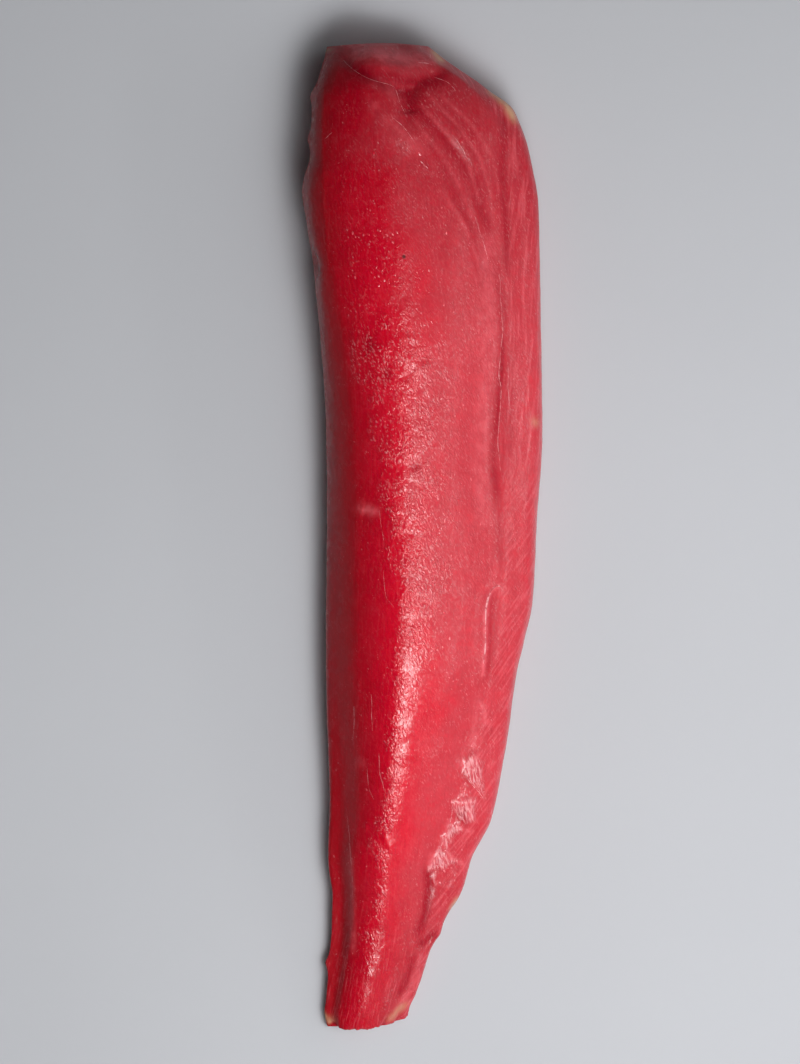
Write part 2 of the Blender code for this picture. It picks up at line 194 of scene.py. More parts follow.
# Finer creases, ridges, pits and facets
FINE_RELIEF = [
    (FOLD_LEFT, 2.2, -0.8),
    (FOLD_RIGHT, 1.8, -0.4),
    ([(-12, 528), (-10, 520), (-6, 512)], 2.4, -0.5),
    ([(-9, 526), (0, 517), (8, 509), (17, 500), (22, 492), (27, 483), (30, 471), (36, 453)],
     2.2, -0.2),
    ([(10, 521), (20, 511), (29, 499), (34, 484)], 1.8, -0.3),
    ([(3, 506), (9, 494), (14, 483), (16, 474)], 2.0, -0.4),
    ([(9, 484), (16, 474), (24, 463), (28, 446), (30, 436)], 2.0, -0.4),
    ([(15, 449), (22, 443), (26, 436)], 1.8, -0.3),
    ([(17, 466), (26, 452), (33, 436), (36, 420)], 1.8, 0.25),
    ([(43, 523), (45, 512), (44, 494), (45, 472), (47, 449)], 2.2, -0.5),
    ([(49, 512), (51, 490), (51, 465)], 2.8, 0.3),
    ([(36, 453), (40, 432), (43.5, 419), (44, 398), (43, 374), (39.5, 351), (38.5, 325),
      (41.5, 284)], 2.0, -0.12),
    ([(-1, 490), (5, 486)], 1.6, 0.6),
    ([(-25, 519), (-17, 511), (-12, 505), (-7, 500)], 2.2, 0.25),
    ([(-57.5, 545), (-59, 510), (-58, 470), (-55, 430)], 1.6, 0.5),
    ([(-24, 376), (-21, 371)], 2.4, -0.5),
    (LEFT_PIT, 2.8, -0.6),
    ([(-26, 389), (-22, 385)], 2.2, 0.45),
    ([(-16, 385), (-10, 381), (-4, 377)], 2.0, 0.5),
    ([(-7, 371), (-3, 374), (2, 376)], 2.2, 0.45),
    ([(15, 377), (22, 374)], 1.8, 0.4),
    ([(9, 259), (12, 252)], 2.0, 0.4),
    ([(18, 262), (22, 256)], 2.0, 0.4),
    ([(15, 248), (20, 246)], 1.8, 0.35),
    ([(-21, 350), (-18, 347)], 2.4, -0.4),
    ([(-8, 321), (-4, 320)], 2.4, -0.4),
    (LEFT_BUMP, 2.6, 0.9),
    ([(-20, 297), (-16, 295)], 2.0, 0.5),
    ([(22, 152), (29, 157)], 3.0, 0.9),
    (FLAKE_EDGE, 1.2, 0.7),
    ([(18, 130), (26, 130)], 2.4, 1.0),
    ([(24, 126), (26, 119)], 2.0, 0.7),
    ([(16, 131), (14, 117), (9, 105), (0, 91)], 1.6, 0.6),
    (FLAKE_STEP, 1.1, 0.6),
    ([(9, 105), (15, 98), (22, 94)], 1.2, 0.6),
    ([(5, 99), (11, 97)], 2.0, 0.8),
    ([(3, 88), (6, 83), (14, 79)], 2.0, 0.5),
    ([(1, 92), (2, 80), (0, 68), (-4, 56)], 2.4, -0.15),
    ([(-2, 49), (5, 54)], 2.4, -0.5),
    ([(-7, 41), (-9, 32), (-14, 21)], 2.4, -0.15),
    ([(-46, 128), (-43, 107), (-41.5, 75), (-40, 55)], 1.8, 0.35),
    ([(-49, 92), (-48, 62), (-46, 30)], 1.8, -0.2),
    ([(-53, 30), (-56, 10)], 1.8, 0.4),
    ([(-35, 154), (-39, 153)], 2.4, 0.4),
    ([(-35, 117), (-33, 117)], 2.4, 0.8),
    ([(-24, 112), (-20, 104)], 1.6, 0.5),
    (HOOK, 1.7, 0.22),
    (HOOK_FOOT, 1.7, 0.3),
]
# Pockets and torn bits of the steep left side: (distance from the tail end, height, half
# width, outward reach)
SIDE_RELIEF = [
    (436, 34, 9.0, -3.5),
    (478, 22, 11.0, 1.5),
    (507, 30, 5.0, 1.6),
    (532, 30, 5.0, 1.8),
    (38, 8, 5.0, 1.5),
]
FINE_SIDE_RELIEF = [
    (436, 40, 3.5, -1.0),
    (452, 30, 5.0, 0.5),
    (470, 36, 5.0, -0.6),
    (495, 26, 3.5, -0.9),
    (506, 34, 2.4, 0.9),
    (514, 28, 2.4, -0.6),
    (530, 34, 2.2, 0.8),
    (38, 9, 2.4, 0.8),
]
# The side relief fades in over this width left of this place, and above the ground
SIDE_PLACE = -30.0
SIDE_FADE = 12.0
SIDE_FOOT_FADE = 6.0
# Places where the skin is lumpier
LUMPY_PLACES = [
    ([(-30, 402), (-16, 396), (-2, 378), (-12, 350)], 10.0, 1.0),
    ([(-8, 335), (-4, 300), (-2, 250), (-10, 190), (-18, 130)], 8.0, 0.6),
    ([(-38, 455), (-22, 450), (-26, 424)], 6.0, 0.6),
    ([(-30, 110), (-30, 60), (-32, 20)], 8.0, 0.5),
]

# Layers of noise on the skin: (distance between bumps, share, seed)
BROAD_SWELLS = ((34.0, 0.62, 1), (13.0, 0.30, 2))
SMALL_LUMPS = ((6.0, 0.6, 3), (3.2, 0.4, 4))
TORN_TAIL = ((3.0, 1.0, 5), (1.6, 0.6, 6))
# Step of the noise's place from one seed to the next
SEED_STEP = (7.31, 3.17, 5.53)
# The swellings fade in over these heights, and are weaker this near to the ends
SWELL_FOOT = (0.5, 6.0)
END_CALM = 6.0
END_SWELL = 0.35
# How far the tail end is torn, and over which distance
TORN_DEPTH = 1.1
TORN_REACH = 7.0

# The torn tail end: how far it is cut back, by the place across
TAIL_CUT_BACK = [(-58, 4), (-56, 1), (-52.5, 2.6), (-49, 0.6), (-46, 0), (-31, 0.2),
                 (-25, 2.2), (-19, 3), (-16, 5.4), (-11, 6.8), (-9, 8.5)]
TAIL_CUT_REACH = 28.0
END_FACE_RINGS = (0.96, 0.90, 0.80, 0.68, 0.54, 0.38, 0.2)
HEAD_FACE_BULGE = 1.5
TAIL_FACE_BULGE = 0.6

# How strong a painted place is at the ends of its path
PAINT_END_STRENGTH = 0.7
# Places that take another colour: (path, half width, strength). The first list is painted shade,
# laid in the creases, the pits and under the folded lobe at the head end.
CREASE_SHADE_PLACES = [
    (FOLD_LEFT, 4.0, 0.9),
    (FOLD_RIGHT, 2.5, 0.5),
    ([(-12, 536), (-10, 529), (-8, 519)], 4.5, 1.0),
    (FAN_EDGE[:-1], 3.0, 0.55),
    (FAN_MIDDLE, 3.0, 0.3),
    ([(43, 523), (45, 512), (44, 494), (46, 460), (47, 430)], 2.5, 0.5),
    ([(40, 432), (43.5, 419), (44, 398), (43, 374)], 3.5, 0.35),
    ([(42, 372), (39.5, 351), (38.5, 325), (40, 300)], 3.5, 0.5),
    ([(44, 392), (43.5, 376), (41, 350), (40.2, 338)], 1.8, 0.7),
    ([(40.2, 340), (40.2, 325), (42.5, 300)], 1.8, 0.3),
    ([(38.5, 250), (37.2, 240), (36.6, 228), (36.8, 216), (35.6, 205)], 1.6, 0.3),
    # Painted shade under the folded lobe of the head end
    ([(-38, 544), (-24, 539), (-9, 536), (4, 538), (11, 542)], 4.5, 0.9),
    ([(40, 300), (41.5, 284), (42, 268)], 3.0, 0.25),
    ([(47, 385), (47, 340), (46, 318)], 5.0, 0.3),
    ([(38, 246), (37.5, 232), (38, 215), (35.5, 203)], 3.0, 0.3),
    ([(-5, 520), (10, 503), (21, 487), (28, 466)], 1.2, 0.35),
    ([(4, 526), (20, 510), (31, 492), (36, 472)], 1.2, 0.3),
    ([(8, 487), (18, 469), (27, 450), (32, 430)], 1.3, 0.35),
    ([(1, 92), (2, 80), (0, 66), (-4, 55)], 3.0, 0.75),
    (TAIL_NOTCH, 3.0, 0.7),
    ([(-7, 41), (-9, 32), (-15, 18)], 2.6, 0.6),
    ([(-23, 375), (-22, 371)], 3.0, 0.5),
    (LEFT_PIT, 3.0, 0.55),
    ([(-6, 322), (-5, 318)], 3.0, 0.5),
    ([(22, 126), (23, 120)], 3.5, 0.6),
]
PALE_PLACES = [
    # Painted light: the top of the folded lobe at the head end, paler where the light falls on
    # it
    ([(-43, 556), (-25, 552.5), (-8, 551), (3, 551)], 5.5, 0.65),
    ([(-31, 527), (-24, 518), (-14, 508), (-4, 500)], 4.0, 0.3),
    ([(-28, 536), (-18, 531)], 4.0, 0.3),
    ([(-2, 524), (12, 508), (24, 492), (31, 470)], 0.9, 0.4),
    ([(3, 529), (18, 513), (31, 495), (38, 472)], 0.9, 0.35),
    ([(-6, 515), (8, 498), (18, 482), (26, 462)], 0.9, 0.35),
    ([(9, 530), (26, 514), (38, 496), (42, 476)], 0.9, 0.3),
    ([(13, 470), (23, 455), (30, 436), (34, 415)], 1.0, 0.35),
    ([(18, 448), (27, 432), (33, 410)], 1.0, 0.3),
    ([(36, 448), (35, 415), (36, 392), (33, 350), (31, 320), (33, 290)], 5.0, 0.40),
    # Partly a pale film, partly a painted highlight along the hooked lip
    (HOOK, 1.2, 0.85),
    (HOOK_FOOT, 1.2, 0.6),
    ([(30, 190), (28, 170), (27, 160)], 2.4, 0.4),
    # The glossy flakes near the tail: partly pale films, partly painted highlights
    ([(22, 152), (29, 156)], 3.0, 0.6),
    ([(18, 130), (26, 129)], 3.0, 0.9),
    ([(25, 127), (26, 120)], 2.0, 0.8),
    ([(14, 118), (9, 105), (2, 93)], 2.2, 0.75),
    ([(5, 99), (11, 96)], 3.0, 0.8),
    (FLAKE_STEP, 1.2, 0.7),
    ([(11, 104), (15, 98), (22, 94)], 1.3, 0.7),
    (LEFT_BUMP, 3.0, 0.75),
    ([(-37, 154), (-36, 153)], 2.4, 0.5),
    ([(-2, 40), (-8, 22), (-14, 9)], 3.0, 0.4),
    ([(-53, 34), (-56, 12)], 2.2, 0.6),
    ([(-43, 100), (-42, 70), (-41, 45)], 1.8, 0.5),
]
FAT_PLACES = [
    ([(38, 534), (42, 531), (47, 525), (51, 518)], 2.6, 0.9),
    ([(5, 557), (9, 551)], 2.5, 0.8),
    ([(-57, 558), (-54, 560)], 2.0, 0.8),
    ([(18, 74), (15, 69)], 1.6, 0.7),
    ([(-58, 5), (-54, 2)], 2.4, 0.9),
    ([(-12, 9), (-20, 3)], 2.6, 0.5),
    ([(62, 347), (63, 345)], 2.0, 0.5),
]

# The fat stays off the ends by this much, and fades in over these shares of the crest height
FAT_OFF_END = 2.5
FAT_LEVEL = (0.08, 0.34)

# Flat glossy facets near the tail, as corners (across, distance from the tail end); their pale
# paint is a painted highlight
FACETS = [
    [(21.4, 147.5), (27.0, 158.5), (31.7, 152.5), (33.3, 132.5)],
    [(15.7, 130.5), (27.9, 131.5), (27.6, 120.2), (22.3, 117.9), (17.6, 122.0)],
    [(7.2, 103.2), (14, 98.5), (19.4, 94.7), (0.6, 90.9)],
    [(9, 110), (17, 118), (20, 113.5), (11, 103.5)],
]
# How far their edges stray, the distance between the bumps, their seeds, and the softness
FACET_WANDER = 1.8
FACET_WAVE = 5.0
FACET_SEEDS = (16, 17)
FACET_EDGE = 1.4

# The grainy band along the top: its left edge, how far that is moved left, and the layers of
# noise by which it wanders
BAND_EDGE = [
    (0, -34), (52, -29.5), (86, -23.8), (114, -22), (131, -19.3), (154, -17.6), (165, -15.5),
    (188, -14.7), (222, -12.5), (245, -13.6), (267, -14.7), (290, -17.6), (313, -20.4),
    (335, -23.8), (358, -29.5), (389, -36), (420, -40), (560, -45),
]
BAND_SHIFT = 6.0
BAND_WANDER = ((5.0, 1.5, 13), (18.0, 6.0, 15))
# How far the grain reaches to the right of that edge, and how strong it is
BAND_REACH = [
    (0, 6), (52, 8), (86, 10), (114, 11), (131, 13), (154, 15), (188, 22), (222, 27),
    (245, 34), (290, 42), (335, 48), (389, 62), (420, 60), (470, 50), (560, 40),
]
BAND_STRENGTH = [
    (0, 0.15), (40, 0.45), (75, 0.7), (110, 0.9), (300, 1.0), (350, 0.95), (385, 0.9),
    (400, 0.55), (430, 0.3), (480, 0.2), (520, 0.1), (560, 0.0),
]
# The grain rises over these distances from that edge, and falls over these shares of its reach
BAND_RISE = (-3.0, 4.0)
BAND_FALL = (0.3, 1.3)
# Its patches, as a mean and the layers of noise round it
GRAIN_MEAN = 0.8
GRAIN_PATCHES = ((9.0, 0.9, 14),)

# The flesh turns from crimson to coral over these shares of the way from the crest to the seam;
# the coral is partly the flesh's own lighter red and partly a painted sheen of the lit right
# slope.
# The lighter flesh reaches further left at the head end, and less far over the lower half and
# at the tail end: by how much, and over which distances from the tail end
CORAL_SHARES = (-0.05, 0.62)
CORAL_WANDER = ((30.0, 0.26, 11), (10.0, 0.16, 12))
HEAD_CORAL = 0.30
HEAD_CORAL_RISE = (390, 510)
TAIL_CRIMSON = 0.35
TAIL_CRIMSON_FALL = (30, 120)
LOWER_CRIMSON = 0.20
LOWER_CRIMSON_RISE = (80, 130)
LOWER_CRIMSON_FALL = (210, 270)

# Numbers of the profile points between which a part of the section fades in and out
TOP_RISE = (3.0, 4.2)
TOP_FALL = (11.0, 12.2)
LEFT_SIDE_FALL = (3.4, 4.8)
LEFT_SIDE_WANDER = 0.5
RIGHT_SIDE_RISE = (13.0, 13.6)
FLAP_RISE = (8.3, 9.2)
FLAP_FALL = (11.8, 12.6)
RIM_RISE = (11.55, 12.0)
RIM_FALL = (12.5, 13.2)
# The greyish rim starts over these distances from the tail end
RIM_DISTANCE = (25, 80)

# Dark speck: distance round the section from the crest, and from the tail end
SPECK_FLOW = (11.2, 438.5, 0.0)

# Thin films that lie on the flesh: (path, width), and a common factor of their widths
THREAD_WIDTH = 0.65
FILM_THREADS = [
    ([(42, 430), (43.8, 397), (41.9, 373), (43.1, 365), (41.4, 334), (41.9, 325), (43.6, 315)],
     0.8),
    ([(47, 380), (47.3, 366), (48.4, 351)], 0.6),
    ([(-26, 296), (-25, 288), (-23.3, 276)], 0.45),
    ([(-24, 262), (-22.7, 248), (-18, 241)], 0.45),
    ([(-31, 192), (-30.9, 185), (-30.4, 171)], 0.8),
    ([(-40.5, 185), (-41.5, 165)], 0.7),
    ([(-33.4, 150), (-32.4, 138), (-29.5, 132)], 0.7),
    ([(-26.4, 159), (-26.4, 151), (-23.3, 137)], 0.7),
    ([(-50, 554), (-40, 544), (-30.6, 538.6), (-17.6, 534.5), (-15.3, 527), (-12, 520)], 0.7),
    ([(-57, 505.5), (-52.7, 509)], 0.8),
    ([(2.7, 555), (2.7, 550)], 0.7),
    # Painted highlight: a pale ribbon along the bright line on the lobe of the head end
    ([(-4.5, 549), (-0.5, 548.8), (3.5, 547.8)], 1.5),
    # Painted glint: a pale ribbon where a glint lies
    ([(-3.4, 493), (-1, 490.5), (1, 488.5)], 1.8),
    ([(-19, 517), (-12, 511), (-7, 504)], 0.7),
    # Partly a pale film, partly a painted highlight along the hooked lip
    ([(44.6, 251.8), (42, 253), (38.9, 251.8), (36.7, 248.6), (35.1, 243), (34.2, 235.4),
      (34, 228)], 2.6),
    ([(34, 227), (34.2, 218.4), (33.3, 209)], 2.2),
    ([(4, 541), (12, 538), (17, 533)], 0.6),
    ([(17, 506), (23, 496), (26, 488)], 0.4),
    ([(-45.6, 127), (-43.1, 107), (-41.5, 75)], 0.5),
    ([(28, 462), (33, 447), (36, 436)], 0.7),
    ([(16, 131), (14, 117), (9, 105), (1, 91)], 0.9),
    (FLAKE_EDGE, 0.8),
]

# Distance between two points along a film, and the least number of points
THREAD_STEP = 0.9
LEAST_THREAD_POINTS = 6
# Its sideways sway, and its uneven width as (mean, range). The noise of both is (bumps a
# millimetre, and two steps of its place from one film to the next)
THREAD_SWAY = 0.6
SWAY_NOISE = (0.11, 3.3, 0.0)
THREAD_PATCHES = (0.75, 0.4)
PATCH_NOISE = (0.22, 0.0, 5.1)
# Where on a sine the width starts and ends
THREAD_TAPER = (0.04, 0.96)
# Height of a film as a share of its half width, its shoulders as shares of the half width and
# of that height, and how deep its edges and its middle are sunk
THREAD_LIFT = 0.22
THREAD_SHOULDER = (0.5, 0.8)
THREAD_EDGE_SINK = 0.08
THREAD_FOOT_SINK = 0.25

# Small wet beads: single ones seen on the head end, then swarms as (path, spread, number)
BEAD_SPOTS = [
    (-29.5, 496.5), (-3.4, 496.5), (-41.4, 452), (-32.5, 451), (-26, 453), (-22, 450.6),
    (-18.7, 446.6), (-28, 432.5), (-23.4, 425), (-26.6, 422), (-22.8, 406), (-40, 427),
]
BEAD_SWARMS = [
    ([(-40, 452), (-16, 449)], 2.5, 9),
    ([(-33, 425), (-20, 428)], 3.0, 7),
    ([(-30, 402), (-22, 385), (-12, 350)], 6.0, 20),
    ([(-12, 380), (4, 370), (20, 350)], 8.0, 12),
    ([(-6, 340), (2, 300), (12, 262)], 7.0, 44),
    ([(4, 262), (10, 220), (14, 190)], 6.0, 24),
    ([(30, 330), (34, 290), (30, 255)], 6.0, 6),
    ([(0, 470), (10, 440), (18, 410)], 8.0, 6),
    ([(-28, 170), (-22, 120), (-26, 70)], 6.0, 14),
    ([(24, 190), (28, 160), (22, 120)], 4.0, 14),
    ([(14, 96), (6, 84)], 3.0, 8),
]
BEAD_SEED = 17
BEAD_RADIUS = (0.26, 0.60)
BEAD_STRETCH = (1.0, 2.2)
BEAD_TURN = (-1.3, 0.5)
BEAD_GAP = 1.7
# Beads keep this far from the tail end and from the head end
BEAD_OFF_TAIL = 2
BEAD_OFF_HEAD = 4
# Height as a share of the radius, and the loops of a bead: (share of the radius, of the height)
BEAD_RISE = 0.24
BEAD_LOOPS = ((1.0, -0.08), (0.86, 0.30), (0.52, 0.78))
BEAD_SINK = 0.3
BEAD_SIDES = 10


def curved(t, start, end, leaving, arriving):
    """A smooth curve from one value to another, with its slope at the start and at the end."""
    return ((2 * t**3 - 3 * t**2 + 1) * start + (t**3 - 2 * t**2 + t) * leaving
            + (3 * t**2 - 2 * t**3) * end + (t**3 - t**2) * arriving)


def along(line, places):
    """Values of a profile line at some places, by a smooth curve that never overshoots."""
    knots = np.array(line, dtype=float)
    at, value = knots[:, 0], knots[:, 1]
    steps = np.diff(at)
    rates = np.diff(value) / steps
    slopes = np.zeros_like(value)
    slopes[0], slopes[-1] = rates[0], rates[-1]
    same_way = rates[:-1] * rates[1:] > 0
    total = np.where(same_way, rates[:-1] + rates[1:], 1.0)
    slopes[1:-1] = np.where(same_way, 2 * rates[:-1] * rates[1:] / total, 0.0)
    places = np.clip(places, at[0], at[-1])
    index = np.clip(np.searchsorted(at, places, side="right") - 1, 0, len(steps) - 1)
    t = (places - at[index]) / steps[index]
    return curved(t, value[index], value[index + 1], slopes[index] * steps[index],
                  slopes[index + 1] * steps[index])


def ramp(values, low, high):
    """0 below low, 1 above high, and a smooth step between."""
    t = np.clip((values - low) / (high - low), 0.0, 1.0)
    return t * t * (3 - 2 * t)


def falling(values, low, high):
    """1 below low, 0 above high, and a smooth step between."""
    return ramp(-values, -high, -low)


def between(values, rise, fall):
    """1 from the end of the rise to the start of the fall, and 0 outside them."""
    return ramp(values, *rise) * falling(values, *fall)


def off_ends(distance, reach):
    """0 at both ends of the loin and 1 further in than the reach."""
    return ramp(distance, 0.0, reach) * ramp(DRAWN_LENGTH - distance, 0.0, reach)


def near_path(across, distance, path, half_width, end_strength=PATH_END_STRENGTH):
    """How near each point is to a path seen from above: 1 on it, fading to 0 beside it."""
    path = np.array(path, dtype=float)
    reach = np.linalg.norm(path[1:] - path[:-1], axis=1)
    total = reach.sum()
    nearest = np.full(across.shape, np.inf)
    share = np.zeros(across.shape)
    done = 0.0
    for start, end, length in zip(path[:-1], path[1:], reach):
        step = (end - start) / length
        run = (across - start[0]) * step[0] + (distance - start[1]) * step[1]
        run = np.clip(run, 0.0, length)
        gap = np.hypot(across - start[0] - run * step[0], distance - start[1] - run * step[1])
        closer = gap < nearest
        nearest = np.where(closer, gap, nearest)
        share = np.where(closer, (done + run) / total, share)
        done += length
    from_end = np.minimum(share, 1 - share)
    taper = np.clip(from_end / PATH_END_SHARE + end_strength, 0.0, 1.0)
    return taper * np.exp(-(nearest / half_width) ** 2)


def painted(across, distance, places):
    """Strongest of several painted places at each point."""
    mask = np.zeros(across.shape)
    for path, half_width, strength in places:
        near = near_path(across, distance, path, half_width, PAINT_END_STRENGTH)
        mask = np.maximum(mask, strength * near)
    return mask


def inside(across, distance, corners, softness):
    """1 inside a convex outline seen from above, and 0 outside."""
    corners = np.array(corners, dtype=float)
    middle = corners.mean(axis=0)
    depth = np.full(across.shape, np.inf)
    for start, end in zip(corners, np.roll(corners, -1, axis=0)):
        side = end - start
        normal = np.array([-side[1], side[0]]) / np.linalg.norm(side)
        if np.dot(middle - start, normal) < 0:
            normal = -normal
        depth = np.minimum(depth, (across - start[0]) * normal[0]
                           + (distance - start[1]) * normal[1])
    return ramp(depth, -softness, softness)


def uneven(points, wavelength, seed):
    """Smooth noise from -1 to 1 at each point, with bumps about a wavelength apart."""
    shift = Vector([seed * step for step in SEED_STEP])
    flat = points.reshape(-1, 3) / wavelength
    values = [noise.noise(Vector(point) + shift) for point in flat.tolist()]
    return np.array(values).reshape(points.shape[:-1])


def layered(points, layers):
    """Sum of several layers of noise: (distance between bumps, share, seed)."""
    return sum(share * uneven(points, wavelength, seed) for wavelength, share, seed in layers)


def profile_points(places):
    """The named points of each cross section, from the left contact to the right contact."""
    height = along(CREST_HEIGHT, places)
    left = along(LEFT_EDGE, places)
    right = along(RIGHT_EDGE, places)
    crest = along(CREST_PLACE, places)
    seam = along(SEAM_PLACE, places)
    inset = along(SHOULDER_INSET, places)
    turn = along(SHOULDER_TURN, places)
    shoulder_height = along(SHOULDER_SHARE, places) * height
    left_bulge = along(LEFT_BULGE_SHARE, places) * height
    right_bulge = along(RIGHT_BULGE_SHARE, places) * height
    lip_height = along(LIP_SHARE, places) * height
    flap_height = along(FLAP_SHARE, places) * height
    # The flap carries the slope on, with the seam sunk below that line
    fall = lip_height - flap_height
    seam_height = lip_height - SEAM_FALL * fall - along(SEAM_DEPTH, places)
    flap_inner_height = lip_height - FLAP_INNER_FALL * fall
    flap_width = right - seam
    lip = seam - np.minimum(LIP_REACH, LIP_ACROSS * (seam - crest) + LEAST_LIP_REACH)
    ground = np.zeros_like(height)
    across = [
        left + CONTACT_LEFT * height, left + LOW_EDGE_INSET, left,
        left + SHOULDER_FOOT_ACROSS * inset, left + inset + turn, crest,
        crest + SLOPE_ACROSS * (seam - crest), lip, seam,
        seam + FLAP_INNER_ACROSS * flap_width, seam + FLAP_TOP_ACROSS * flap_width,
        seam + FLAP_ROUND_ACROSS * flap_width, right, right - LOW_EDGE_INSET_RIGHT,
        right - CONTACT_RIGHT * height,
    ]
    level = [
        ground, LOW_EDGE_SHARE * left_bulge, left_bulge, shoulder_height - turn,
        shoulder_height + SHOULDER_TOP_RISE * turn, height, SLOPE_SHARE * height, lip_height,
        seam_height, flap_inner_height, flap_height,
        right_bulge + FLAP_ROUND_RISE * (flap_height - right_bulge), right_bulge,
        LOW_EDGE_SHARE * right_bulge, ground,
    ]
    return np.stack([np.array(across).T, np.array(level).T], axis=2)


def profiles(places):
    """Closed rings, (ring, point, across and height), and each point's number on the ring."""
    points = profile_points(places)
    gaps = np.linalg.norm(np.diff(points, axis=1), axis=2)[:, :, None]
    rates = np.diff(points, axis=1) / gaps
    tangents = np.zeros_like(points)
    before, after = gaps[:, :-1], gaps[:, 1:]
    tangents[:, 1:-1] = (rates[:, :-1] * after + rates[:, 1:] * before) / (before + after)
    tangents[:, 0] = tangents[:, -1] = (-1.0, 0.0)
    columns, numbers = [], []
    for i, faces in enumerate(FACES_BETWEEN_POINTS):
        for step in range(faces):
            t = step / faces
            columns.append(curved(t, points[:, i], points[:, i + 1],
                                  gaps[:, i] * tangents[:, i],
                                  gaps[:, i] * tangents[:, i + 1]))
            numbers.append(i + t)
    for step in range(FACES_UNDER):
        t = step / FACES_UNDER
        columns.append(points[:, -1] * (1 - t) + points[:, 0] * t)
        numbers.append(LAST_POINT + t)
    sections, numbers = np.stack(columns, axis=1), np.array(numbers)
    first, last = np.searchsorted(numbers, (SHOULDER, LIP))
    for _round in range(CREST_ROUNDS):
        sections[:, first:last] = ((1 - 2 * NEIGHBOUR_SHARE) * sections[:, first:last]
                                   + NEIGHBOUR_SHARE * sections[:, first - 1:last - 1]
                                   + NEIGHBOUR_SHARE * sections[:, first + 1:last + 1])
    return sections, numbers


def grid_normals(points):
    """Outward normals of a grid of rings."""
    around = np.roll(points, -1, axis=1) - np.roll(points, 1, axis=1)
    lengthwise = np.gradient(points, axis=0)
    normals = np.cross(around, lengthwise)
    normals /= np.maximum(np.linalg.norm(normals, axis=2, keepdims=True), LEAST_LENGTH)
    return normals


